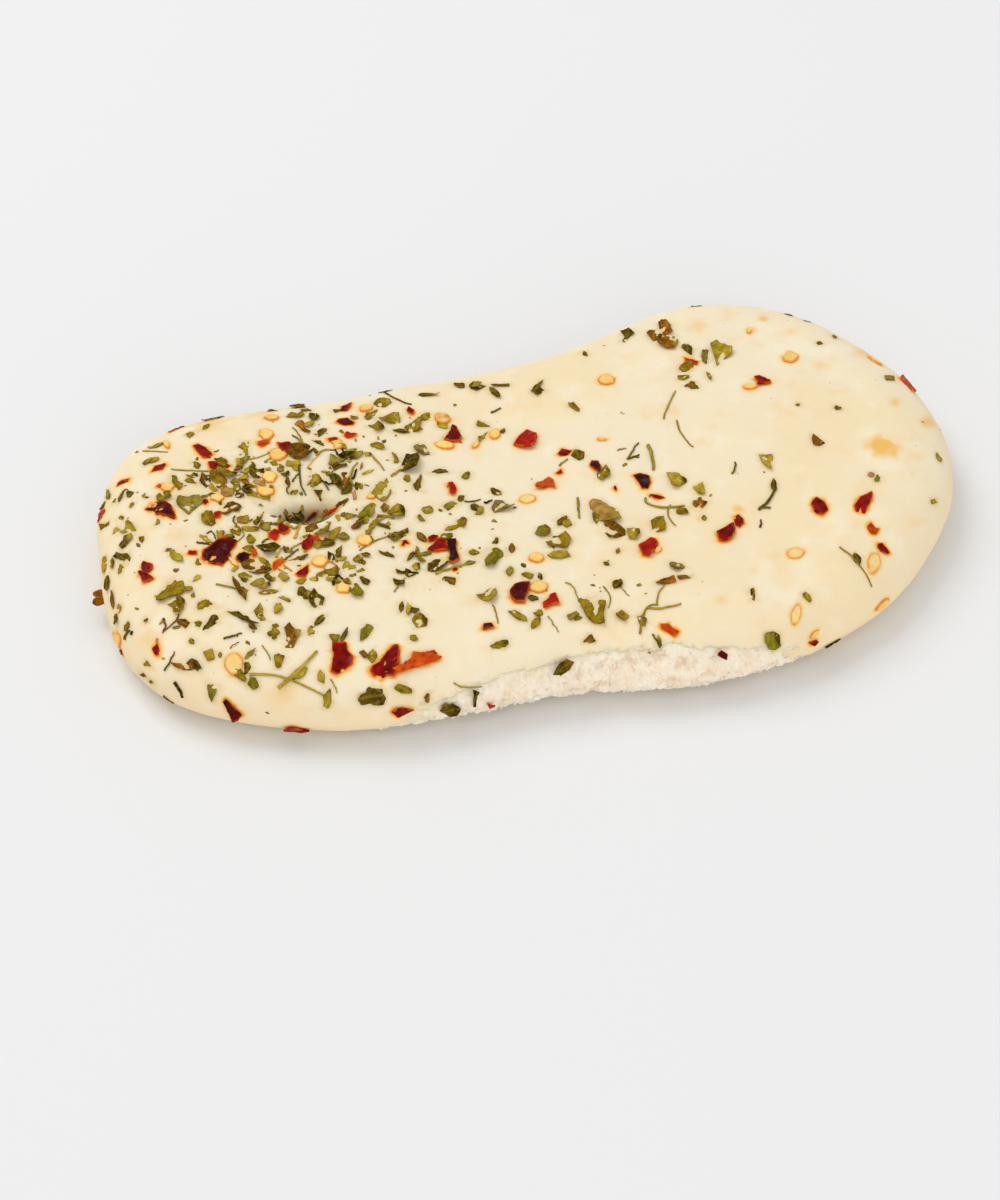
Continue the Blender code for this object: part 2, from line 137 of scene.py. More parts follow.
class Finish:
    """One material and the nodes in it."""

    def __init__(self, name, **fixed):
        self.material = bpy.data.materials.new(name)
        self.material.use_nodes = True
        self.tree = self.material.node_tree
        self.shader = self.tree.nodes["Principled BSDF"]
        for socket, value in fixed.items():
            self.shader.inputs[socket.replace("_", " ")].default_value = value
        self.place = self.node("ShaderNodeTexCoord", {}, {}, "Object")

    def node(self, kind, settings, sockets, output=0):
        made = self.tree.nodes.new(kind)
        for key, value in settings.items():
            setattr(made, key, value)
        for key, value in sockets.items():
            if isinstance(value, Wire):
                self.tree.links.new(value.socket, made.inputs[key])
            else:
                made.inputs[key].default_value = value
        return Wire(self, made.outputs[output])

    def grain(self, size, detail=2.0):
        """Noise whose lumps are size millimetres across."""
        sockets = {"Vector": self.place, "Scale": 1 / (size * MM), "Detail": detail}
        return self.node("ShaderNodeTexNoise", {}, sockets, "Fac")

    def cells(self, size):
        """Distance from the nearest of many spots, which lie about size millimetres apart."""
        sockets = {"Vector": self.place, "Scale": 1 / (size * MM)}
        return self.node("ShaderNodeTexVoronoi", {}, sockets, "Distance")

    def painted(self, name, output="Fac"):
        """A value that was written on the points of the piece."""
        return self.node("ShaderNodeAttribute", {"attribute_name": name}, {}, output)

    def blend(self, share, first, second, way="MIX"):
        settings = {"data_type": "RGBA", "blend_type": way}
        first = first if isinstance(first, Wire) else linear(first)
        second = second if isinstance(second, Wire) else linear(second)
        return self.node("ShaderNodeMix", settings, {0: share, 6: first, 7: second}, 2)

    def bump(self, height, depth, below=None):
        sockets = {"Height": height, "Distance": depth * MM}
        if below is not None:
            sockets["Normal"] = below
        return self.node("ShaderNodeBump", {}, sockets)

    def feed(self, socket, wire):
        self.tree.links.new(wire.socket, self.shader.inputs[socket])


# %% [markdown]
# ## A pale table and soft light
#
# The bread is photographed in bright, even daylight, before a ground almost as bright as the bread.
# A white sky gives that evenness, and a very large lamp from behind and to the left adds the soft
# shade on the near side. A weaker one stands in for the light that a room throws back. Small lamps
# would give hard edges that the photograph doesn't have.

# %% Table and light
TABLE_SIZE = 6000
TABLE_COLOUR = (236, 236, 236)
TABLE_SHADE = (232, 232, 232)
TABLE_GRAIN = 400
SKY = 0.66
LAMPS = (  # name, place, size and watts
    ("window", Vector((-700, 900, 1500)), 1200, 14.0),
    ("room", Vector((250, -1500, 500)), 1400, 9.0),
)


def make_table():
    mesh = bmesh.new()
    bmesh.ops.create_grid(mesh, x_segments=1, y_segments=1, size=TABLE_SIZE * MM)
    table = bpy.data.objects.new("table", bpy.data.meshes.new("table"))
    mesh.to_mesh(table.data)
    mesh.free()
    bpy.context.scene.collection.objects.link(table)
    paint = Finish("pale_table", Roughness=0.9)
    paint.feed("Base Color", paint.blend(paint.grain(TABLE_GRAIN) * 0.2, TABLE_COLOUR, TABLE_SHADE))
    table.data.materials.append(paint.material)


def add_lamp(name, place, size, watts):
    data = bpy.data.lights.new(name, "AREA")
    data.size = size * MM
    data.energy = watts
    lamp = bpy.data.objects.new(name, data)
    lamp.location = place * MM
    lamp.rotation_euler = (-place).to_track_quat("-Z", "Y").to_euler()
    bpy.context.scene.collection.objects.link(lamp)


def make_light():
    world = bpy.data.worlds.new("sky")
    world.use_nodes = True
    world.node_tree.nodes["Background"].inputs["Color"].default_value = (1, 1, 1, 1)
    world.node_tree.nodes["Background"].inputs["Strength"].default_value = SKY
    bpy.context.scene.world = world
    for lamp in LAMPS:
        add_lamp(*lamp)
    bpy.context.scene.view_settings.view_transform = "Standard"


make_table()
make_light()

# %% [markdown]
# ## The form of the bread
#
# Seen from above the bread is a lopsided oblong: squarer at the left, with a shallow waist at the
# back and a round lobe at the right. Sixteen distances from the middle, joined by a smooth curve,
# are enough to say that. The section is the same all the way round: flat top, wide soft shoulder,
# tighter round underneath, flat base. Both are the ones that the solid was made with, so that the
# skin lies where the solid is.

# %% Sizes of the bread
RIM_RADII = (  # every 22.5 degrees, from +X
    94, 92, 81, 53, 45, 47, 58, 88, 92, 92, 74, 58, 52, 59, 71, 84,
)
RIM_STEPS = 720
TOP_HEIGHT = 15.5
RIM_HEIGHT = 6.5
UPPER_ROUND = 15.0
LOWER_ROUND = 8.0
TOP_SHARE = 0.45  # share of the triangles on the flat of the top
BASE_SHARE = 0.08
UPPER_SIDE_SHARE = 0.62
HILLS = (  # x, y, half width along and across, and rise
    (-55, -12, 34, 30, 1.0), (52, 4, 34, 34, 1.5), (-5, 18, 26, 26, -1.8), (-57, 33, 8, 4, 0.8),
)
UNEVEN_SIZE = 24.0
UNEVEN_HEIGHT = 0.5
PIT_X, PIT_Y = -47.3, -1.5  # the middle of its deepest line, which is bent like a smile
PIT_BEND = 0.07
PIT_HALF_LENGTH = 8.0
PIT_NEAR, PIT_FAR = 1.5, 7.5  # a steep wall on the near side and a long slope on the far side
PIT_DEPTH = 5.5
SKIN_RIPPLES = ((13.0, 0.2), (6.0, 0.12), (2.4, 0.04))  # size and height
UP = Vector((0, 0, 1))


def smooth(low, high, value):
    share = min(1.0, max(0.0, (value - low) / (high - low)))
    return share * share * (3 - 2 * share)


def bell(distance):
    return math.exp(-distance * distance)


def rim_radius(angle):
    """Distance from the middle to the rim: a smooth closed curve through RIM_RADII."""
    count = len(RIM_RADII)
    place = angle / (2 * math.pi) * count
    first = math.floor(place)
    part = place - first
    a, b, c, d = (RIM_RADII[(first + step) % count] for step in (-1, 0, 1, 2))
    bend = 2 * a - 5 * b + 4 * c - d
    twist = 3 * (b - c) + d - a
    return b + 0.5 * part * ((c - a) + part * (bend + part * twist))


def walk_rim():
    """The rim as points spaced evenly along its length, each with its inward direction."""
    fine = 4 * RIM_STEPS
    corners = []
    for step in range(fine + 1):
        angle = 2 * math.pi * step / fine
        corners.append(Vector((math.cos(angle), math.sin(angle), 0)) * rim_radius(angle))
    lengths = [0.0]
    for before, after in zip(corners, corners[1:]):
        lengths.append(lengths[-1] + (after - before).length)
    points = []
    at = 0
    for step in range(RIM_STEPS):
        target = lengths[-1] * step / RIM_STEPS
        while lengths[at + 1] < target:
            at += 1
        part = (target - lengths[at]) / (lengths[at + 1] - lengths[at])
        points.append(corners[at].lerp(corners[at + 1], part))
    inward = []
    for step in range(RIM_STEPS):
        along = points[(step + 1) % RIM_STEPS] - points[step - 1]
        inward.append(Vector((-along.y, along.x, 0)).normalized())
    print("the rim is", round(lengths[-1]), "mm round")
    return points, inward


RIM_POINTS, RIM_INWARD = walk_rim()


def rim(turn):
    """Point and inward direction at a turn of 0 to 1 round the rim."""
    place = (turn % 1.0) * RIM_STEPS
    first = int(place)
    part = place - first
    second = (first + 1) % RIM_STEPS
    first %= RIM_STEPS
    point = RIM_POINTS[first].lerp(RIM_POINTS[second], part)
    return point, RIM_INWARD[first].lerp(RIM_INWARD[second], part)


def pit(x, y):
    """How deep the pit in the top is at a spot."""
    past = y - PIT_Y - PIT_BEND * (x - PIT_X) ** 2
    slope = PIT_NEAR if past < 0 else PIT_FAR
    return PIT_DEPTH * bell((x - PIT_X) / PIT_HALF_LENGTH) * bell(past / slope)


def top_height(x, y):
    height = TOP_HEIGHT
    for hill_x, hill_y, along, across, rise in HILLS:
        height += rise * bell(math.hypot((x - hill_x) / along, (y - hill_y) / across))
    height += UNEVEN_HEIGHT * noise.noise(Vector((x, y, 0)) / UNEVEN_SIZE)
    return height - pit(x, y)


def ripples(point):
    return sum(high * noise.noise(point / size) for size, high in SKIN_RIPPLES)


# %% [markdown]
# ## Where the bread is torn
#
# Kulchas touch each other on the tray and are pulled apart warm, which leaves a stretch of white
# crumb along one edge. Here it runs along the front. How far it reaches in over the top is one
# value, largest in the middle of the stretch and made ragged by noise. The skin uses it to duck
# under the crumb, and the crumb to rise through it.

# %% The torn stretch
TEAR_REACH = (  # at each x, how far it reaches in over the top; below zero it stays underneath
    (-50, -6.0), (-42, -2.0), (-36, -0.4), (-30, 0.3), (-24, 1.1), (-19, 1.9), (-13, 2.3),
    (-7, 2.1), (-2, 2.7), (4, 3.2), (10, 3.9), (15, 4.5), (21, 4.7), (26, 3.1), (31, 2.2),
    (37, 1.1), (43, 0.2), (47, -0.5), (54, -6.0),
)
TEAR_SOFTNESS = 0.9
TEAR_RAGGED = ((3.5, 0.5), (1.1, 0.55), (0.5, 0.35))


def tear_reach(x):
    """The reach of the tear at x, from the table above."""
    for (left, low), (right, high) in zip(TEAR_REACH, TEAR_REACH[1:]):
        if left <= x < right:
            return low + (high - low) * smooth(left, right, x)
    return TEAR_REACH[0][1]


def tear_weight(point, over_top):
    """1 in the torn edge and 0 on the skin. over_top is how far in over the top the point lies."""
    if point.y > 0:
        return 0.0
    reach = tear_reach(point.x)
    reach += sum(far * noise.noise(point / size) for size, far in TEAR_RAGGED)
    return smooth(-TEAR_SOFTNESS, TEAR_SOFTNESS, reach - over_top)


def side_point(turn, angle):
    """A point of the rounded side, its way out, and how far in over the top it lies.

    angle is 0 where the flat top ends, 90 at the widest line and 180 where the flat base begins."""
    edge, inward = rim(turn)
    lean = math.radians(angle)
    out = UP * math.cos(lean) - inward * math.sin(lean)
    if angle < 90:
        over = UPPER_ROUND * (1 - math.sin(lean))
        flat = edge + inward * over
        height = RIM_HEIGHT + (top_height(flat.x, flat.y) - RIM_HEIGHT) * math.cos(lean)
    else:
        under = LOWER_ROUND * (1 - math.sin(lean))
        flat = edge + inward * under
        height = RIM_HEIGHT * (1 + math.cos(lean))
        over = -under
    return Vector((flat.x, flat.y, height)), out, over


def bread_point(share, turn, duck):
    """A point of the skin, which ducks by so many millimetres under the torn crumb.

    share runs from 0 in the middle of the top to 1 in the middle of the base."""
    if share <= TOP_SHARE:
        edge, inward = rim(turn)
        flat = (edge + inward * UPPER_ROUND) * math.sqrt(share / TOP_SHARE)
        point = Vector((flat.x, flat.y, top_height(flat.x, flat.y)))
        return point + UP * ripples(point)
    if share >= 1 - BASE_SHARE:
        edge, inward = rim(turn)
        return (edge + inward * LOWER_ROUND) * math.sqrt(max(0.0, 1 - share) / BASE_SHARE)
    down = (share - TOP_SHARE) / (1 - BASE_SHARE - TOP_SHARE)
    if down < UPPER_SIDE_SHARE:
        angle = 90 * down / UPPER_SIDE_SHARE
    else:
        angle = 90 + 90 * (down - UPPER_SIDE_SHARE) / (1 - UPPER_SIDE_SHARE)
    point, out, over = side_point(turn, angle)
    calm = smooth(180, 150, angle)
    return point + out * calm * (ripples(point) - duck * tear_weight(point, over))


def ball_to_bread(direction, duck=0.0):
    turn = math.atan2(direction.y, direction.x) / (2 * math.pi)
    return bread_point((1 - direction.z) / 2, turn, duck)


# %% [markdown]
# ## What lies on the bread, and where
#
# The pieces were read off the photograph one by one: where each lies on a level sheet held at the
# height of the top, what colour it has and what form. Looking from the eye through that spot of the
# sheet finds the place on the bread. A broken flake is known by its outline, so a form is either an
# outline, drawn corner by corner in tenths of a millimetre from the spot, or, where a made-up
# outline will do, three numbers for the length, the width and the turn. The first rows of each
# table are the ones that the solid has too.

# %% Chilli flakes: x, y, colour, form
CHILLI_SPOTS = (
    (-66.3, 25.4, "red", (-20, 19, -7, 25, 7, 8, 19, -16, 9, -24, -3, -24, -13, -2)),
    (-76.3, 21.8, "red", (-18, -10, -8, 5, 13, 11, 15, 8, 7, -8)),
    (-77, 8.7, "maroon", (-39, 3, -33, 12, -27, 10, -23, 24, 6, 24, 16, 10, 23, -27, 20, -36, 10,
        -27, -10, -10, -24, 0)),
    (-48.5, 23, "red", (-18, 19, -9, 14, 7, 12, 13, 2, 7, -10, 1, -20, -13, -14, -16, 2)),
    (-34.6, 28.8, "maroon", (-20, 4, -14, 11, 4, 12, 18, -6, 14, -12, -2, -12, -14, -5)),
    (-12.7, 19.8, "red", (-22, -13, -17, -3, -6, 2, 4, 31, 13, 20, 18, -11, 13, -21, -6, -19)),
    (2.8, 15.2, "bright", (-30, -9, -17, 12, 6, 29, 26, 14, 21, -3, 13, -22, 0, -27, -19, -19)),
    (10.1, 10.1, "red", (-16, -2, -4, 11, 17, 2, 3, -10, -12, -10)),
    (43.9, 34.2, "bright", (-13, 16, -2, 4, 14, -2, 7, -13, -2, -7, -14, 4)),
    (57.5, 24.7, "red", (-16, 13, -3, 14, 18, -3, 16, -12, -15, -14, -10, -1)),
    (88.5, 17.4, "pink", (5, 1.6, -70)),
    (-67, -6.8, "maroon", (-40, -10, -34, 12, -24, 16, -6, 30, 10, 38, 26, 36, 39, 28, 36, 16, 24,
        2, 18, -16, -2, -41, -22, -30, -34, -22)),
    (-82.9, -11.4, "red", (-16, 18, -8, 20, 3, 11, 14, -6, 3, -13, -10, -16, -10, 0)),
    (-55, -3.9, "bright", (-14, -1, -10, 11, 2, 17, 10, 9, 8, -3, 0, -15, -6, -11)),
    (-48.3, -7.6, "red", (-17, -6, -13, 4, -1, 14, 5, 26, 11, 16, 11, 0, 3, -14, -11, -22, -17,
        -16)),
    (-50.8, -15.9, "red", (-17, -4, -1, 9, 14, 20, 11, -2, 3, -15, -12, -12)),
    (-47, -42.4, "red", (-12, 44, 17, 42, 16, 21, 25, 2, 19, -19, 0, -35, -16, -43, -27, -33, -20,
        -10, -13, 15)),
    (-70.5, -51.8, "maroon", (-16, 21, -10, 28, 1, 9, 17, -22, 9, -31, -3, -31, -10, -4)),
    (-38.6, -45.6, "red", (-33, -16, -27, -2, -10, 7, 8, 30, 25, 49, 36, 47, 35, 30, 29, 5, 19,
        -24, 12, -38, -2, -31, -17, -43, -29, -28)),
    (-31.1, -46, "orange", (-63, -12, -44, -6, -19, 9, 10, 13, 27, 9, 42, 0, 27, -8, 2, -14, -19,
        -18, -50, -27)),
    (-15.9, 3.2, "bright", (-5, 19, 5, 18, 10, -3, 3, -20, -8, -18, -5, -1)),
    (3.8, 0.8, "orange", (-22, -8, -16, 5, -1, 7, 13, 14, 21, 3, 21, -14, 11, -7, -11, -12)),
    (-22.2, -13.8, "red", (-23, -9, -6, 6, 8, 20, 23, 12, 21, -15, -4, -14)),
    (-19.1, -15.7, "black", (-10, 31, 12, 33, 12, 25, 8, 8, 9, -17, 8, -33, -8, -41, -15, -29, -8,
        -8, -10, 12)),
    (-7.5, -30.6, "maroon", (-23, 8, -10, 23, 10, 28, 24, 25, 19, 8, 8, -11, 0, -31, -17, -27, -24,
        -11)),
    (-2.1, -34.2, "bright", (-19, -20, -17, -4, -2, 5, 4, 19, 15, 20, 17, -14, 2, -12)),
    (15.7, 4.3, "maroon", (-6, 16, 8, 10, 12, -6, 6, -17, -3, -12, -13, 4)),
    (24.6, -2.1, "black", (-17, 21, -1, 22, 17, 9, 15, -8, 6, -25, -7, -23, -10, 0)),
    (21.4, -22.5, "bright", (-22, 6, -5, 17, 9, 27, 18, 24, 21, 8, 11, -10, -5, -27, -18, -19, -19,
        -5)),
    (38.1, -21.5, "red", (-18, 9, -2, 15, 18, 27, 25, 25, 23, 7, 11, -15, -4, -22, -18, -18)),
    (41.8, -18, "red", (-8, 12, 3, 19, 10, 1, 8, -10, -3, -20, -10, -12)),
    (59.6, -16.8, "red", (2, 30, 15, 11, 16, -15, 0, -28, -14, -18, -15, 9, -9, 18)),
    (68.8, -18, "red", (1, 23, 28, 30, 27, 21, 15, 1, 6, -12, -3, -29, -20, -19, -20, -1, -8, 12)),
    (68.9, -25.7, "orange", (-9, 9, 0, 17, 6, 0, 14, -2, 3, -18, -6, -16, -10, -2)),
    (69.4, -32, "red", (-7, 16, 2, 17, 6, 3, 10, -15, 4, -18, -7, -6, -10, 7)),
    (20.2, -46.9, "orange", (-15, 18, 1, 18, 7, 4, 19, -9, 5, -23, -6, -7, -17, 6)),
    (-84.7, 18.5, "red", (-12, -9, -7, 2, 1, 9, 18, 11, 13, 4, 4, 4, -4, -6)),
    (-64.9, 20, "red", (-9, 14, 4, 12, 12, 2, 4, -11, -8, -4)),
    (-53.2, 25.4, "orange", (-14, -2, -10, 8, 0, 8, 14, 6, 12, -4, 0, -10, -8, -10)),
    (-71.9, 33.6, "orange", (-16, 0, -2, 4, 13, 10, 15, 4, 1, -7, -7, -11)),
    (-67.9, 9.1, "red", (-3, 9, 5, 7, 5, -1, -3, -7, -7, 1)), (-62, 19.6, "red", (1.3, 1, 20)),
    (-33.8, 33.5, "red", (-14, -10, -9, 3, 14, 12, 8, -3, -1, -12)),
    (-34.5, 24.2, "bright", (-13, 3, -5, 9, 5, 1, 16, 0, 5, -6, -9, -7)),
    (-37.9, 23.7, "bright", (-15, 4, -1, 5, 7, 1, 3, -5, -13, -6)),
    (-20.2, 29.4, "red", (2.2, 1.6, 90)),
    (-82.3, -8.2, "red", (-13, -9, -11, 8, -6, 15, 12, 2, 10, -8, 0, -17)),
    (-83.5, -32.7, "red", (-7, 6, 5, 16, 6, -2, 2, -16, -4, -15, -7, 2)),
    (-72.7, -5.9, "bright", (-10, 0, -6, 8, 9, 4, 9, -7, -3, -5)),
    (-52.7, -2.4, "red", (-13, 10, -3, 16, 11, -2, 5, -12, -5, -16, -15, -6)),
    (-90.6, -32.2, "maroon", (-8, 6, -1, 10, 6, -7, 0, -4)),
    (-46.9, 0.3, "plum", (-11, -13, -5, 1, 3, 7, 11, 15, 18, 11, 13, 1, 3, -6)),
    (-42.5, 1.3, "bright", (-7, -9, 1, 3, 13, 9, 21, 13, 11, -1, 3, -5)),
    (-65.9, 4.6, "bright", (-8, 6, 3, 10, 9, 6, 3, -8, -7, -8)),
    (-62.5, -9.3, "black", (-15, 1, -7, 11, 5, 15, 15, 9, 13, -3, -3, -15, -13, -7)),
    (-60, -8.2, "orange", (-6, 4, 4, 10, 6, -8, -2, -14, -6, -6)),
    (-44.9, -7.3, "pink", (-1, 4, 4, 6, 7, -7, -1, -5)), (7.8, 3.9, "bright", (1.5, 1.3, 30)),
    (-16, -38.9, "maroon", (2.5, 1.5, 15)),
    (-28.4, -11.2, "red", (-10, -8, -4, 6, 2, 6, 7, -6, 0, 0, -4, -8)),
    (-19.6, -21.1, "red", (1.2, 0.8, 20)),
    (26.7, -7.4, "red", (-15, 8, 0, 5, 14, -7, 3, -9, -9, -4)), (18.4, -3.1, "red", (1.6, 0.6, 90)),
    (47.9, -56, "red", (-9, 2, 9, 7, 12, 2, 0, -8)),
    (29, -56, "maroon", (-9, 8, 0, 14, 10, 2, 4, -13, -5, -5, -11, 2)),
    (-38, -59, "red", (5, 2.4, 10)), (-60, -61, "red", (4.5, 2.4, -20)),
    (-22.4, -11.2, "red", (2.4, 1.4, 20)),
    (-30.4, -44.6, "orange", (-28, -5, -22, 11, 3, 5, 24, 7, 28, -12, -5, -12)),
    (-55.5, -12.6, "orange", (-13, -8, -10, 6, 5, 17, 14, 8, 11, 2, -1, -4, -11, -17)),
    (-46.5, -6.2, "orange", (-8, 10, 3, 4, 7, -10, -1, -10, -7, -2)),
    (-90.2, 9.1, "pink", (-13, -19, -6, 3, 6, 18, 12, 17, 8, 7, -4, -7)),
    (-76.7, 15.8, "orange", (-9, 2, -3, 7, 9, -2, 5, -8, -5, -2)),
    (-20, -60.4, "bright", (-5, 4, -1, 7, 3, 0, 11, -1, 10, -3, -2, -9)),
)

# %% Chilli seeds: x, y, colour, form
SEED_SPOTS = (
    (-53.4, 14.3, "pale", (-18, 1, -8, 19, 2, 19, 12, 11, 14, -3, 6, -19, -8, -17)),
    (-68.6, -39.5, "ringed", (4.8, 4, 80)),
    (-47, -13.6, "pale", (-18, 2, -10, 14, 4, 19, 14, 12, 16, -2, 8, -16, -2, -16, -12, -10)),
    (-43.2, -22.5, "pale", (-16, -1, -14, 11, -2, 21, 8, 9, 10, -5, 6, -15, -12, -9)),
    (-36.7, -8.9, "pale", (-17, -1, -13, 11, 1, 17, 13, 11, 13, -7, 5, -19, -9, -15)),
    (-0.6, -2.9, "ringed", (3.5, 2.8, 0)), (-3.6, -29.7, "pale", (3.7, 3.4, 0)),
    (23.9, 31.6, "amber", (-18, 5, -7, 17, 8, 17, 18, 2, 14, -14, 0, -18, -16, -11)),
    (65.6, 31.2, "amber", (-18, 5, -10, 10, -2, 18, 7, 20, 17, 2, 11, -13, -4, -18, -17, -9)),
    (51, -29.9, "ringed", (3.6, 3, 0)), (66.5, -35.6, "ringed", (5, 2.9, 70)),
    (64.9, -48, "amber", (4, 2, 45)),
    (-75.3, 15.4, "amber", (-13, 4, -3, 14, 9, 10, 13, -4, 5, -16, -7, -14, -15, -4)),
    (-54.8, 10, "pale", (-20, 18, -8, 16, 0, 14, 16, 2, 14, -12, -4, -16, -16, -10, -20, 4)),
    (-65.6, 10, "pale", (-10, 10, 4, 12, 14, 4, 16, -6, 4, -16, -6, -6, -12, -4)),
    (-50.2, 33.2, "amber", (3, 2.6, 0)),
    (-52.2, 27.9, "amber", (-16, 1, -12, 17, 0, 19, 12, 11, 15, -5, 6, -17, -8, -17)),
    (-50.8, 20.6, "amber", (-16, 14, -6, 24, 6, 24, 19, 6, 16, -8, 4, -16, -12, -12, -18, 0)),
    (-29.5, 32.4, "amber", (3.2, 2.8, 40)), (-13.8, 25.8, "brown", (3.5, 3.2, -60)),
    (-14.8, 17.2, "pale", (4, 2.5, -20)), (-3.6, 18.5, "amber", (3, 2.4, 70)),
    (-8.3, 16, "amber", (2.2, 1.2, 50)),
    (-37.4, 21.7, "amber", (-16, 12, 8, 15, 6, -13, -8, -13, -10, 5)),
    (18.8, 12.6, "amber", (1.9, 0.8, -15)), (54.4, 23.3, "amber", (3, 1.6, -10)),
    (83.6, 26.7, "amber", (4, 1.8, -55)),
    (-64.6, -9.5, "pale", (-10, 7, -6, 9, 2, -7, 10, -23, 6, -25, -4, -13)),
    (-2.3, -21, "amber", (3, 3, 0)), (46.6, -47.6, "ringed", (4.6, 2, 70)),
    (23, -23.5, "pale", (2, 1.4, 40)), (-73.8, 28.8, "amber", (3.8, 1.1, 100)),
    (48.8, -53.8, "amber", (2.4, 1, 60)), (-33.2, 4, "amber", (1.7, 1.3, 10)),
    (58.8, 41.8, "amber", (1.8, 0.9, 70)),
    (-90.8, -28.2, "amber", (-8, 21, 1, 22, 5, 11, 5, -6, 1, -26, -2, -15, -7, 2)),
)

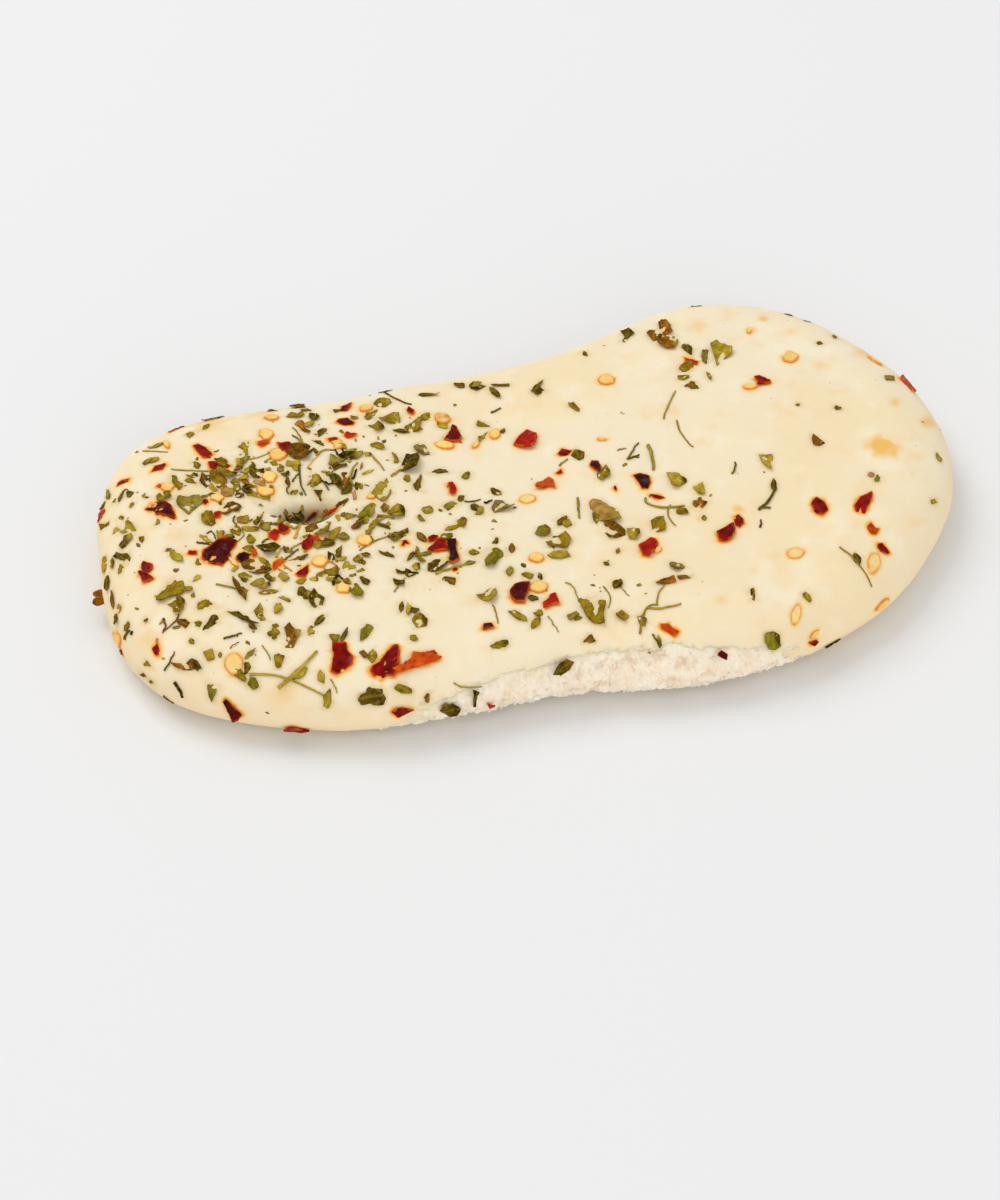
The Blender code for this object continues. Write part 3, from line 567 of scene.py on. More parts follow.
# %% Leaf flakes: x, y, colour, form
LEAF_SPOTS = (
    (-65.4, 36.3, "sage", (4.6, 2.2, 10)), (-45.3, 32.8, "olive", (4.2, 2.7, 0)),
    (-45.3, 20.8, "brown", (-37, -2, -21, 20, -1, 22, 13, 21, 27, 12, 21, 0, 13, -12, 11, -24, -3,
        -26, -21, -18)),
    (-57.4, 24.6, "olive", (-14, 6, -6, 10, 0, 24, 4, 20, 11, 20, 10, 6, 5, -10, 4, -24, -3, -24,
        -4, -6)),
    (-64.2, 16, "olive", (-17, 22, 0, 26, 2, 16, 16, -10, 16, -16, 6, -24, -4, -21, -14, -10, -18,
        8)),
    (-58.5, 11.8, "dark", (-14, 0, 5, 2, 17, -6, 17, -24, 7, -28, -7, -18, -13, -8)),
    (-71.5, 9.3, "sage", (-26, 5, -20, 23, 1, 19, 15, 23, 23, 25, 31, 15, 29, -3, 15, -15, -5, -35,
        -11, -23, -19, -9)),
    (-62.7, 6.2, "brown", (-23, -8, -17, 4, -7, 14, 5, 16, 17, 10, 21, 0, 11, -14, -1, -10, -13,
        -20, -21, -16)),
    (-68, 3.9, "olive", (-13, 17, -2, 23, 10, 17, 13, -3, 13, -17, 4, -24, -6, -19, -16, -11)),
    (-85.8, 0.5, "dark", (-16, -14, -8, 1, -3, 15, 7, 19, 15, 18, 15, 4, 4, -8, -3, -18, -11, -24)),
    (-78.4, -16.2, "olive", (-34, -28, -30, -7, -14, 8, -3, 28, 3, 18, 11, 33, 16, 18, 28, 12, 28,
        -3, 20, -16, -1, -19, -22, -30)),
    (-64.8, -27.1, "dark", (-31, 25, -8, 21, 2, 7, 16, -14, 33, -27, 16, -24, 0, -10, -17, 9)),
    (-49.6, -24.4, "dark", (-13, 5, -3, 21, 3, 32, 10, 13, 20, 0, 12, -20, -5, -24, -13, -12)),
    (-55.8, -34, "brown", (-19, -30, -11, -1, -13, 22, -1, 33, 7, 16, 19, 7, 7, -13, -3, -34)),
    (-40.6, -35.6, "green", (-19, -29, -13, 4, -3, 27, 16, 8, 1, -15)),
    (-56.5, -7.9, "dark", (-29, 17, -15, 17, 11, 15, 23, 3, 13, -1, 7, -13, -5, -19, -15, -17, -18,
        -1)),
    (-60.6, -17.8, "sage", (-18, 8, -4, 14, 14, 16, 18, 0, 6, -8, -10, -4)),
    (-78, -38.5, "rust", (-32, 18, -20, 12, -3, 8, 8, 11, 14, 18, 17, 13, 25, 7, 30, -15, 25, -13,
        16, -21, 10, -15, -9, -9, -22, 2)),
    (-42.5, -54, "dark", (6, 4, 0)),
    (-30.6, 5.2, "light", (-25, -4, -14, 10, -2, 24, 10, 28, 16, 40, 20, 18, 20, 0, 12, -18, 0,
        -32, -8, -28, -14, -16)),
    (-34.6, -0.2, "green", (-26, -16, -18, -4, -4, 12, 12, 24, 21, 18, 16, 8, 12, -10, 6, -20, -8,
        -18)),
    (-23, -19.2, "dark", (-23, -13, -21, 2, -1, 16, 22, 20, 24, 2, 4, -17, -17, -18)),
    (-11, -18.6, "green", (-23, 0, -13, 21, 0, 27, 21, 10, 20, -6, 8, -13, -4, -33, -24, -33, -21,
        -15)),
    (-6.4, -4.1, "grey", (-23, -2, -11, 17, 3, 17, 14, 2, 27, -8, 8, -17, -21, -16)),
    (3.3, -17.2, "olive", (-27, 7, -23, 23, -2, 19, 19, 21, 26, 0, 10, -24, -6, -14, -25, -10)),
    (-14.5, -30.2, "olive", (-23, 6, -5, 10, 10, 23, 21, 19, 18, -4, 4, -23, -15, -8)),
    (-9.6, -37, "olive", (-18, 16, -2, 18, 17, -7, 17, -21, -2, -13)),
    (6, -38, "olive", (-23, 30, -9, 32, 14, 41, 18, 22, 31, 12, 18, -17, 14, -49, -7, -42, -17,
        -22, -21, 3)),
    (-3.5, -53, "dark", (-26, -15, -7, 8, 12, 17, 25, 8, 12, -8, -9, -20)),
    (15, -9.8, "tan", (-30, 35, -17, 39, -3, 35, 8, 15, 24, 2, 24, -21, 26, -34, 8, -36, -10, -32,
        -23, -25, -21, -7, -32, 10)),
    (15.6, -16.1, "brown", (-20, 29, 2, 24, 13, 11, 20, -2, 18, -16, -2, -22, -18, -18, -23, 2,
        -18, 15)),
    (32, -3.3, "light", (-19, 26, -1, 24, 8, 15, 20, -1, 17, -10, -6, -23, -19, -21, -17, -1)),
    (24.8, -16.1, "olive", (-14, 11, 6, 22, 17, 22, 16, -2, 10, -21, -7, -20, -16, -16, -14, -2)),
    (40.1, -53.9, "green", (-9, 23, 7, 25, 18, 14, 12, -17, -2, -27, -15, -22, -18, -4, -15, 14)),
    (52.2, -1.6, "light", (-12, 29, 16, 22, 12, 7, 1, -26, -5, -13, -12, 4)),
    (16.8, 1.5, "olive", (-3, 14, 12, 31, 16, 9, 13, -7, -10, -19, -15, -2, -12, 11)),
    (64.5, 3.5, "brown", (-4, 21, 4, 9, 15, -12, 1, -19, -12, -13, -10, 7)),
    (40.2, 46, "rust", (-9, 17, 0, 28, 12, 26, 19, 10, 16, 3, 17, -18, -7, -20, -9, -4)),
    (40, 41.4, "rust", (-23, 11, -2, 18, 16, 23, 26, 11, 23, -5, 9, -25, -9, -21, -21, -7)),
    (31.9, 45.4, "dark", (-14, 14, 7, 22, 15, 2, 4, -3, -12, -21, -18, -15, -8, -3)),
    (50.9, 35.8, "light", (-20, 24, -2, 37, 14, 21, 27, 3, 21, -14, -5, -28, -20, -43, -18, -18)),
    (42.1, 32.3, "olive", (-17, 0, -9, 12, 5, 17, 18, 10, 16, -7, 4, -17, -12, -12)),
    (-25.1, 27.7, "olive", (-25, 6, -15, 11, 11, 15, 22, 11, 21, -14, 0, -15, -13, -7)),
    (-20.1, 24.8, "olive", (-25, -4, -10, 6, 13, 23, 15, 8, 5, -23, -12, -19)),
    (-23.4, 13.7, "dark", (-25, -26, -13, 0, -2, 19, 23, 16, 23, -4, 10, -36, -13, -36)),
    (-34.7, 17.9, "black", (-35, 3, -21, 9, 3, 9, 22, 5, 19, -5, 7, -15, -13, -14, -27, -7)),
    (8.8, 32.1, "dark", (-20, -10, -10, 9, 14, 20, 11, 11, -3, -6, 13, -15, -10, -28)),
    (-61.9, 35.6, "dark", (2, 0.8, -20)), (-44.1, 35.5, "brown", (4, 2.5, -25)),
    (-41.1, 31.9, "dark", (-13, -3, -9, 9, 7, 11, 11, -7, 3, -16, -9, -13)),
    (-43.9, 28.8, "rust", (-19, 14, -10, 20, -1, 18, 5, 6, 1, -4, 13, -16, 7, -23, -5, -12, -10,
        2)),
    (-76.2, 28.8, "olive", (-18, -1, -6, 0, 6, 7, 19, 6, 16, 2, 2, -6, -14, -6)),
    (-68.4, 31, "olive", (-10, 2, 0, 10, 8, 6, 10, 0, -2, -10, -6, -6)),
    (-63.1, 21.2, "brown", (-15, 6, -9, 10, 3, 13, 15, -1, 9, -23, 0, -12, -9, 0)),
    (-72.8, 15.6, "olive", (-11, 15, -2, 10, 6, 14, 10, 6, 6, -8, -1, -17, -7, -12, -10, 2)),
    (-70.2, 16.3, "olive", (-13, 4, -4, 9, 4, 4, 12, -11, 2, -7, -8, -3)),
    (-67, 16, "plum", (-5, 26, 2, 16, 11, 12, 10, -6, 6, -16, -2, -24, -10, -10, -14, -4, -10, 8)),
    (-57.5, 17.9, "sage", (-5, 7, 9, 14, 17, 9, 15, 1, 5, -3, -3, -15, -13, -17, -11, -3)),
    (-56, 15.4, "dark", (-14, 26, -4, 28, 2, 18, 18, 16, 14, 0, 6, -10, -8, -10, -15, 2)),
    (-54.8, 12.2, "tan", (-24, 14, -12, 14, 2, 10, 0, -6, -8, -2, -20, 6)),
    (-50.8, 16.8, "sage", (-8, -6, 0, 8, 9, 4, 6, -12, -6, -14)),
    (-48.2, 17.2, "light", (-8, 16, 2, 10, 18, 6, 20, -2, 12, -6, 10, -22, 2, -18, -2, -4, -14, -2,
        -12, 4)),
    (-41, 12.6, "green", (-5, -2, -4, 8, 10, 18, 12, 8, 4, -2)),
    (-44.1, 11, "light", (-3, 26, 1, 20, 13, 10, 17, -2, 7, -8, -3, -2, -5, -18, -13, -16, -9, 0,
        -19, -8, -17, 0, -5, 10)),
    (-76.9, 12.4, "olive", (-11, 4, -3, 12, 8, -2, 3, -12, -11, -12)),
    (-84.9, 14.5, "dark", (-12, -18, -11, -5, -2, 6, 3, 11, 0, -2, -7, -14, -10, -21)),
    (-82.8, 15, "dark", (-13, -13, -12, 1, -8, 6, -1, 4, 4, -1, -2, -7, -6, -13)),
    (-89.6, 6.2, "olive", (-11, -15, -10, 4, 0, 1, 10, 9, 7, -2, -4, -8)),
    (-86.2, 7.7, "olive", (-7, -3, 1, 7, 7, 3, 6, -6)),
    (-87.8, 15.8, "sage", (-6, -18, -3, 13, 1, 11, 4, -4, 1, -18)),
    (-89.7, 12, "dark", (-6, -11, 6, 11, 10, 14, 3, -6)),
    (-85, 4.2, "light", (-19, -8, -7, -5, -3, 7, -4, 18, 4, 18, 11, 9, 16, -12, 4, -9, -4, -11,
        -14, -15)),
    (-87.4, -4.5, "dark", (-17, 2, -7, 18, 0, 12, 15, 9, 19, -4, 13, -21, 7, -18, 5, -6, -3, -1)),
    (-88, -8, "olive", (-6, -13, -4, 3, 3, 17, 8, 6, 3, -6)),
    (-76, -6.1, "light", (-15, 3, -12, 15, -4, 20, 8, 17, 13, 5, 11, -21, 0, -19, -10, -9)),
    (-77.6, -21.3, "olive", (-25, 13, -11, 13, -4, 19, 2, 13, 9, 8, 12, -5, 7, -12, 0, -22, -5,
        -17, -12, -20, -10, -3, -13, 8)),
    (-72, -21.6, "olive", (-18, -12, -16, 6, -8, 12, -1, 22, 6, 8, 23, -12, 6, -11)),
    (-71.7, -27.5, "dark", (-19, -13, -15, -6, -4, 6, 3, 19, 11, 23, 17, 19, 15, 4, 8, -2, -2, -7,
        -10, -20, -15, -24)),
    (-61.4, -26.1, "olive", (-11, 5, 5, 24, 9, 9, 5, -7, 9, -22, -3, -24)),
    (-74.1, -27, "olive", (-9, 6, 1, 9, 8, 5, 0, -12)),
    (-51.5, -22.1, "dark", (-15, 1, -10, 15, 0, 16, 5, 5, 15, -1, 15, -19, -1, -19, -11, -13)),
    (-51.8, -33.1, "light", (3.2, 1.7, 65)), (-49.5, -30.5, "dark", (4, 1.4, 45)),
    (-61, -11.5, "brown", (-20, 9, -2, 17, 8, 11, 7, -15, -4, -17, -18, -11, -22, -1)),
    (-64.1, -18.6, "brown", (-13, 41, -7, 28, 5, 4, 17, 2, 9, -12, 4, -35, -1, -24, -9, -8, -15,
        22)),
    (-57.7, -16.2, "dark", (-13, 4, -7, 14, 5, 14, 5, -4, 11, -10, -3, -15)),
    (-55, -16.6, "light", (-11, 6, -4, 12, 10, 4, 12, -6, 2, -16, -10, -8)),
    (-65, -37.9, "sage", (-14, -10, -4, 9, 14, 16, 6, 1, -6, -14)),
    (-66, -41.3, "dark", (2.8, 1.6, 70)),
    (-73.7, -46.9, "green", (-9, 25, 3, 24, 10, 21, 7, 5, 1, -11, -7, -25, -11, -1)),
    (-59.6, -40.4, "olive", (3.5, 2, 70)), (-56, -44.9, "light", (4, 2, 25)),
    (-51.3, -52.6, "light", (4.5, 2, 75)), (-51.7, -46.7, "light", (3, 1.6, 80)),
    (-36.3, -53, "olive", (-17, 4, -4, 17, 18, -4, 16, -17, -4, -13)),
    (-22.8, 6.1, "dark", (-11, -5, 2, 14, 10, 26, 13, 22, 5, -3, 6, -27, -7, -17)),
    (-17.8, 9, "dark", (-22, -1, 9, 13, 22, -4, -4, -4)),
    (-28.3, -1.5, "light", (-21, 9, -7, 15, 1, 19, 13, 9, 15, 1, 11, -17, -1, -21, -13, -19, -17,
        -5)),
    (-35.9, -2.9, "dark", (-17, 1, -13, 9, 11, 7, 11, -1, 5, -11, -7, -11, -15, -7)),
    (-34.5, -4.9, "olive", (-19, -19, -11, -3, 1, 9, 5, 19, 17, 27, 21, 23, 15, 9, 9, 3, -1, -11,
        -7, -27, -17, -25)),
    (-32.1, -4.9, "gold", (3, 1, 13, 7, 17, -1, 11, -9)),
    (-29.6, -8.4, "dark", (-24, 8, -12, 6, -4, 12, 0, 6, 12, 6, 25, 13, 23, -4, 6, -14, -8, -12,
        -22, -6)),
    (-22.1, -2.2, "light", (2.7, 2.3, 60)), (-14.4, 0.2, "dark", (2.8, 1.4, 70)),
    (-11.9, -3.4, "dark", (-12, 5, 0, 14, 13, -11, -10, -9)), (-6.8, 0.5, "dark", (3, 1.8, -50)),
    (-18, -8.6, "olive", (4.8, 1.6, 15)),
    (-15.6, -7.6, "olive", (-11, 6, 2, 14, 12, 10, 6, -6, 0, -15, -10, -6)),
    (-19.8, -11, "green", (3.2, 2, 10)),
    (-26.8, -16.5, "olive", (-2, 19, 4, 37, 8, 29, 10, 7, 16, -11, 4, -15, -2, 3)),
    (0.6, -13.2, "green", (-19, -6, -8, 12, 8, 16, 18, 6, 12, -17, -8, -19)),
    (1.8, -20.3, "light", (-18, -2, 0, 7, 25, 0, 29, -16, 9, -20, -12, -14)),
    (5.3, -10.9, "dark", (-14, -15, -10, 10, 7, 18, 13, 6, 0, -11)),
    (6.3, -12, "olive", (2.6, 2, 10)), (-5.2, -25.5, "olive", (3, 2.2, -50)),
    (-2.7, -26.4, "dark", (2.2, 1.2, 70)), (-5.6, -32.6, "dark", (3, 1.8, -10)),
    (-29.5, -34.7, "olive", (-16, 6, -6, 18, 6, 24, 16, 1, 11, -17, -10, -19)),
    (-32.5, -29.9, "dark", (3.2, 1, 75)), (-31.4, -31.2, "light", (3.6, 1.4, 75)),
    (-14.7, -44.4, "olive", (-21, -1, -5, 11, 18, 7, 18, -3, 4, -14, -17, -9)),
    (-6.3, -39.8, "olive", (3.6, 1.6, 50)), (2.3, -39.9, "olive", (2, 1.6, 20)),
    (11.7, -41.5, "olive", (-13, 15, 1, 19, 13, -1, -1, -15, -15, 2)),
    (12.6, -31.8, "dark", (3, 2, 50)), (-31.7, -39.2, "olive", (2.4, 1.6, -50)),
    (-40.7, -42.8, "olive", (3.3, 1.8, 75)),
    (-41.5, -16, "light", (-11, -2, -3, 14, 7, 14, 6, 2, 17, 0, 15, -10, 7, -8, -5, -14)),
    (-40.6, -23, "green", (-16, 4, -10, 16, 2, 18, 8, 2, 12, -14, 6, -26, -10, -24, -16, -10)),
    (-38.4, -20.9, "dark", (-12, 11, -6, 15, 2, 5, 9, -3, 2, -15, -8, -9, -10, 1)),
    (-37.9, -14.5, "brown", (-13, 5, -10, 12, -3, -1, 4, -9, -1, -17, -10, -8)),
    (19.2, -17.7, "light", (4, 20, 14, 9, 13, -4, 0, -19, -12, -15, -14, 0, -12, 14)),
    (12.3, -11.7, "green", (-5, 14, 6, 14, 4, -6, -1, -15, -6, -6)),
    (36, -6.9, "light", (-14, 8, -3, 15, 11, 19, 7, -19, -6, -16, -10, -3)),
    (35, -11.2, "rust", (0, 16, 7, 16, 5, 9, 17, 2, 0, -17, -9, -17, -16, -2, -13, 7, -4, 9)),
    (30.6, -12.7, "olive", (-12, -1, -3, 15, 13, 13, 13, -12, -3, -12, -12, -7)),
    (26, -29.3, "grey", (-10, 19, 10, 7, 18, -4, -8, -11, -16, 0, -16, 11)),
    (52.4, -57.5, "dark", (0, 5, 18, 13, 18, -4, -9, -17, -18, -8, -2, 0)),
    (51.7, -8.7, "dark", (3.6, 1.2, 75)),
    (15.2, -43.4, "olive", (-7, 14, 4, 17, 11, 3, 2, -17, -7, -8)),
    (39.4, -40.2, "dark", (-2, 16, 6, 18, 3, -2, -2, -20, -6, -11, -4, 6)),
    (17.3, -50, "dark", (3, 0.9, 85)), (34.8, -15.8, "olive", (1.4, 1.1, 90)),
    (14.8, -22.3, "olive", (1.9, 1, 50)), (11.6, -25.5, "dark", (1.5, 1, -50)),
    (37.2, 44.6, "rust", (-12, 3, 0, 16, 14, 14, 21, -4, 16, -18, -2, -21, -7, -4)),
    (43.9, 38.2, "dark", (-13, 11, -4, 13, 3, 19, 11, 4, 3, -21, -6, -5)),
    (47.2, 35.3, "grey", (-9, 1, -2, 19, 12, 17, 3, 1, -4, -28, -11, -16)),
    (40.9, 29.3, "olive", (-14, 2, -5, 5, 12, 7, 12, -4, -4, -11, -13, -5)),
    (41.8, 26.1, "brown", (-17, 2, -4, 7, 3, 16, 15, 7, 15, -12, -2, -10)),
    (46.5, 28.5, "olive", (-4, 15, 2, 10, 5, -4, 0, -16, -4, -1)),
    (15.1, 24, "olive", (-11, 14, 2, 14, 11, -8, 8, -17, -2, -8, -10, 6)),
    (12.7, 8.6, "dark", (-15, 2, -3, 19, 16, 8, 11, -11, -1, -17)),
    (-25.7, 33.4, "olive", (-21, 0, -6, 14, 17, 12, 19, -2, 2, -15, -15, -9)),
    (-28.5, 30, "olive", (-20, -8, -13, 4, -3, 6, 19, 20, 19, 14, 1, 0, -5, -12, -14, -16)),
    (-28.4, 25.6, "olive", (-18, 10, -14, 13, -6, 10, 6, 16, 16, 4, 17, -6, 4, -14, -8, -13, -6,
        -2)),
    (-17.4, 27.1, "olive", (3, 2, 40)), (-23.2, 23.5, "dark", (4, 1.6, -20)),
    (-20, 16.8, "grey", (-17, 9, -2, 25, 10, 11, 15, -19, -2, -19, -13, -4)),
    (-26.2, 15, "olive", (-6, 20, 4, 12, 8, -10, 0, -18, -4, -10, 0, 4)),
    (-24.3, 8.6, "olive", (-13, -4, -7, 8, 3, 4, 3, -12, -5, -15)),
    (-39.3, 13.1, "dark", (-7, 19, 3, 25, 27, 23, 27, 13, 13, 15, -3, 5)),
    (-4.6, 34.7, "dark", (-16, 8, -3, 16, 9, 4, 24, 1, -1, -13, -14, -3)),
    (0.9, 34.2, "dark", (4.5, 1, -12)), (-1, 31.9, "dark", (4, 1.3, -65)),
    (-15.3, 34, "dark", (5, 1.4, -10)), (-5.6, 22.3, "olive", (-14, 0, -8, 14, 16, -11, -12, -5)),
    (-6.3, 18, "sage", (-12, -14, -10, 5, 13, 17, -5, -8)), (-1.8, 19.3, "dark", (2, 1.2, 60)),
    (-40.3, 26.1, "dark", (-9, 9, -3, 12, 12, 12, 11, 5, -1, -3, -6, -12, -10, -9)),
    (-41.7, 23.4, "dark", (-11, 9, -3, 3, 5, 1, 13, -8, 8, -12, -3, -2)),
    (88.7, -7.3, "sage", (3, 1.6, -75)), (68.8, 45.7, "sage", (2.6, 1.8, -20)),
    (72.9, 42.8, "sage", (2.2, 1.4, 10)), (71.4, 12.8, "dark", (1.6, 1.2, -50)),
    (63.3, 15.6, "brown", (1.1, 0.8, 30)), (73.2, 34.7, "dark", (1.5, 1.3, 0)),
    (73, -9.4, "pinkish", (1.6, 1.4, 0)), (74, -11, "green", (2, 1.2, 60)),
    (-70.6, -1.8, "light", (0, 18, 6, 6, 22, -8, 26, -18, 14, -16, 6, -2, 0, 6)),
    (-67.4, -1.6, "gold", (5, 12, 10, 8, 16, 14, 23, 8, 14, -10, 10, -18, 4, -10)),
    (-62.8, -0.8, "olive", (-12, 2, 2, 19, 8, 10, 10, -4, 6, -18, -4, -10, -11, -6)),
    (-61, 2, "gold", (-12, 8, -2, 12, 14, 12, 15, -2, 8, -12, -2, -10, -12, -4)),
    (-57.6, 1.6, "dark", (-14, -2, -2, 0, 14, 22, 6, 0, 2, -12, -2, -17, -12, -14)),
    (-60, -4.2, "olive", (-10, 6, -2, 17, 6, 6, 10, -4, 2, -12, -8, -11)),
    (-49.8, 1, "black", (-6, 20, -2, 12, 6, 11, 13, 18, 14, 10, 18, -2, 14, -16, 6, -18, -4, -16,
        -10, -8, -2, 0)),
    (-52, 2.4, "dark", (-2, 14, 4, 16, 7, 4, 4, -12, -1, -8)),
    (-44.4, -4.6, "olive", (-26, -2, -10, 0, 0, 12, 10, 22, 13, 20, 8, 6, 4, -14, -8, -14, -18,
        -10)),
    (-47.2, -3.2, "brown", (-12, 6, -2, 14, 12, 10, 16, -4, 8, -8, -4, -10, -12, -12)),
    (-44.8, -8.8, "light", (-28, 0, -22, 12, -6, 10, 8, 8, 20, 4, 16, -4, 2, -8, -14, -6, -20,
        -10)),
    (-43, -11.4, "dark", (-6, -2, -2, 10, 10, 16, 15, 22, 8, -6, 6, -18, -4, -16)),
    (-44.2, -17.6, "olive", (-42, 2, -30, 8, -10, 12, 6, 14, 7, 0, 2, -10, -10, -4, -30, -4, -40,
        -6)),
    (-51, -18.4, "light", (-18, -2, -10, 4, 4, 6, 7, -4, -2, -12, -14, -8)),
    (-91, -11.5, "brown", (4.4, 1.4, 75)), (-90.6, -16.5, "brown", (5, 1.2, 80)),
    (-90.4, -22, "brown", (4, 1, 80)),
    (-88.6, -24.6, "olive", (-8, -15, -4, 0, 5, 11, 7, 7, 5, -6, -2, -17)),
    (-86, -36.2, "olive", (-6, 0, 2, 9, 5, 1, 9, -10, 2, -7, -3, -6)),
    (-76.2, -31.6, "olive", (-6, 0, -1, 9, 6, 2, 5, -10, -3, -7)),
    (-58.8, -30.2, "olive", (1.5, 1.4, 0)), (-71, -36.6, "olive", (1.4, 0.8, 80)),
    (-45.4, -36, "dark", (3.8, 1, 60)),
    (-72.8, -13.6, "light", (-9, -8, -6, 4, 2, 10, 9, 6, 8, -2, -2, -6)),
    (-84.6, -23.9, "dark", (1.3, 1, 20)),
    (-62, 17.3, "olive", (-20, 17, -8, 19, 6, 3, 20, -5, 16, -13, 0, -19, -16, -9)),
    (-69.7, 17.9, "olive", (-13, 5, -3, 3, 5, 6, 13, 1, 11, -5, 1, -7, -9, -1)),
    (-65.8, 13.5, "light", (-2, 15, -11, -1, -8, -13, 2, -15, 10, -13, 0, -7, -2, 1, 2, 11)),
    (-61, 14, "sage", (-4, 10, 4, 12, 10, 4, 8, -12, -2, -10, -10, 4)),
    (-60.8, 12.3, "olive", (-6, 11, 8, 13, 8, -5, 0, -13, -8, -9)),
    (-63, 11.3, "tan", (-12, 13, -2, 15, 14, 9, 14, -5, 6, -15, -6, -13, -14, -3)),
    (-59.4, 19.5, "light", (-5, 18, 14, 17, 11, -3, 6, -15, -14, -18, -8, -9, -2, 9)),
    (-53.4, 16.8, "sage", (-6, 4, 6, 3, 5, -4, -4, -4)),
    (-58.8, 13.7, "rust", (-8, 9, 4, 11, 8, 1, 8, -11, 0, -9, -6, -1)),
    (-58.6, 12.1, "black", (-12, 1, -2, 7, 12, 7, 6, -7, -8, -7)),
    (-60.6, 9.9, "dark", (-10, 3, -4, 9, 10, 5, 10, -5, 0, -9, -8, -5)),
    (-53.5, 11.1, "brown", (-3, 7, 5, 3, 3, -7, -5, -3)),
    (-67.7, 10.8, "olive", (-9, 4, 9, 6, 6, 0, -3, -6)),
    (-64.9, 8.1, "dark", (-4, 3, 3, 4, 3, -5, -2, -4)),
    (-64.6, -2.4, "olive", (-14, -4, -4, 11, 6, 8, 14, -4, 6, -10, -10, -8)),
    (-59.8, -0.8, "light", (-18, 5, -8, 10, 4, 6, 18, 2, 18, -9, 8, -10, -10, -6)),
    (-61.1, -6.8, "olive", (-13, 6, -1, 10, 11, 8, 13, -4, 5, -10, -5, -4)),
    (-64.7, -12.3, "light", (-8, -3, -3, 7, 7, 9, 9, 1, -3, -9)),
    (-62.8, -15.1, "olive", (-14, 11, 0, 11, 14, -1, 6, -11, -8, -5, -14, 3)),
    (-63.3, -16.1, "black", (-7, 7, 7, 1, 5, -7, -3, -3)),
    (-59.5, -14.1, "brown", (-25, 5, -5, 7, 15, 7, 25, -1, 7, -7, -11, -7)),
    (-58.7, -13, "rust", (-7, 4, 1, 6, 7, -4, -3, -6)),
    (-59.4, -18.6, "tan", (-14, 0, 0, 6, 14, 8, 14, -2, 0, -8, -12, -7)),
    (-58.7, -20.4, "olive", (-21, 4, -13, 6, 7, 4, 21, -1, 15, -6, -9, -6, -19, -2)),
    (-53.3, -8.7, "dark", (-7, -1, 5, 9, 7, 3, -3, -9)),
    (-51.2, -11.6, "dark", (-24, -4, -8, -2, 0, 4, 10, 0, 20, 10, 23, 6, 14, -4, 8, -10, -10, -10)),
    (-58.4, -11, "light", (-10, 14, 0, 8, 10, -4, 8, -14, 0, -10, -8, 0)),
    (-51.4, 0.3, "black", (-10, 3, 2, 11, 10, 5, 4, -11, -6, -7)),
    (-50, 14.6, "dark", (-11, 2, -2, 4, 8, 11, 10, 0, -1, -10)),
    (-49.9, 12.4, "plum", (-6, -4, 1, 16, 7, 4, 7, -12, 1, -16, -3, -12)),
    (-49, 8.6, "olive", (-10, -3, -4, 6, 7, 8, 9, 2, 2, -6, -6, -8)),
    (-42.3, 20.8, "dark", (-6, 12, -2, 10, 3, -4, 7, -9, -3, -12, -7, -4)),
    (-32.6, 29.6, "olive", (-8, 6, 8, 6, 8, -2, -2, -6, -8, 0)),
    (-35, 19.4, "light", (-12, 2, 0, 6, 13, 3, 10, -6, -8, -4)),
    (-31.7, 17.5, "light", (-8, 7, 9, 5, 9, -7, -9, -5)),
    (-38.7, 17, "sage", (-19, -12, -13, -2, -9, 18, 7, 6, 19, -6, 15, -10, -5, -12, -13, -18)),
    (-39.7, 9.8, "dark", (-13, 24, 1, 28, 9, 18, 13, 2, 11, -18, 7, -27, 1, -18, -3, 0, -11, 10)),
    (-37.6, 10.2, "rust", (-6, 24, 10, 26, 12, 10, 6, -2, 8, -18, 0, -26, -8, -14, -12, -10, -4,
        6)),
    (-33.7, 13.9, "gold", (-5, -11, 1, 7, 5, 11, 3, -3)),
    (-32.6, 11.8, "light", (-14, -6, 0, 5, 14, 6, 8, 0, -8, -6)),
    (-35.1, 7.7, "dark", (-9, 3, -3, 13, 8, 5, 7, -5, 1, -13, -9, -7)),
    (-37.4, 6.7, "olive", (-6, 5, 4, 7, 6, -7, -6, -5)),
    (-36.6, 5.3, "pinkish", (-3, 13, 4, 15, 4, -13, -4, -15)),
    (-44, 6.4, "dark", (-9, 18, 0, 18, 10, 18, 8, 10, 2, 6, 6, -10, 0, -18, -1, -2, -6, 8)),
    (-51.2, 0.8, "rust", (-10, -2, 4, 7, 9, 4, -2, -6)),
    (-43.6, 1, "rust", (-8, -8, -2, 6, 6, 12, 8, 6, 4, -6, -4, -12)),
    (-39.8, 3.3, "brown", (-10, -3, -2, 5, 10, 5, 6, -1, -2, -5)),
    (-45, -0.8, "sage", (-10, -2, -2, 6, 10, 10, 4, -6, -6, -10)),
    (-42.5, -6, "light", (-17, -16, -11, 4, 1, 14, 17, 20, 9, 4, -3, -18, -15, -20)),
    (-48.8, -5.1, "sage", (-7, -3, 4, 7, 8, 1, -2, -7)),
    (-44.4, -12.3, "black", (-7, -3, -4, 12, 6, 7, 8, -7, 4, -13, -6, -13)),
    (-49, -18.5, "light", (-9, 5, 0, 7, 10, 5, 10, -3, 6, -7, -6, -1)),
    (-42.2, -20.4, "brown", (-10, 4, 2, 10, 9, 0, 6, -11, -6, -6)),
    (-40.9, -18.9, "sage", (-9, -3, -5, 3, 9, 5, 7, -1, -7, -5)),
    (-39, -17.6, "olive", (-10, -2, 6, 6, 9, -2, -6, -6)),
    (-37.3, -13.7, "brown", (-11, 6, 3, 7, 11, -1, 5, -6, -3, -3)),
    (-35.1, -8.8, "dark", (-3, 10, 3, 8, 3, -6, -3, -10)),
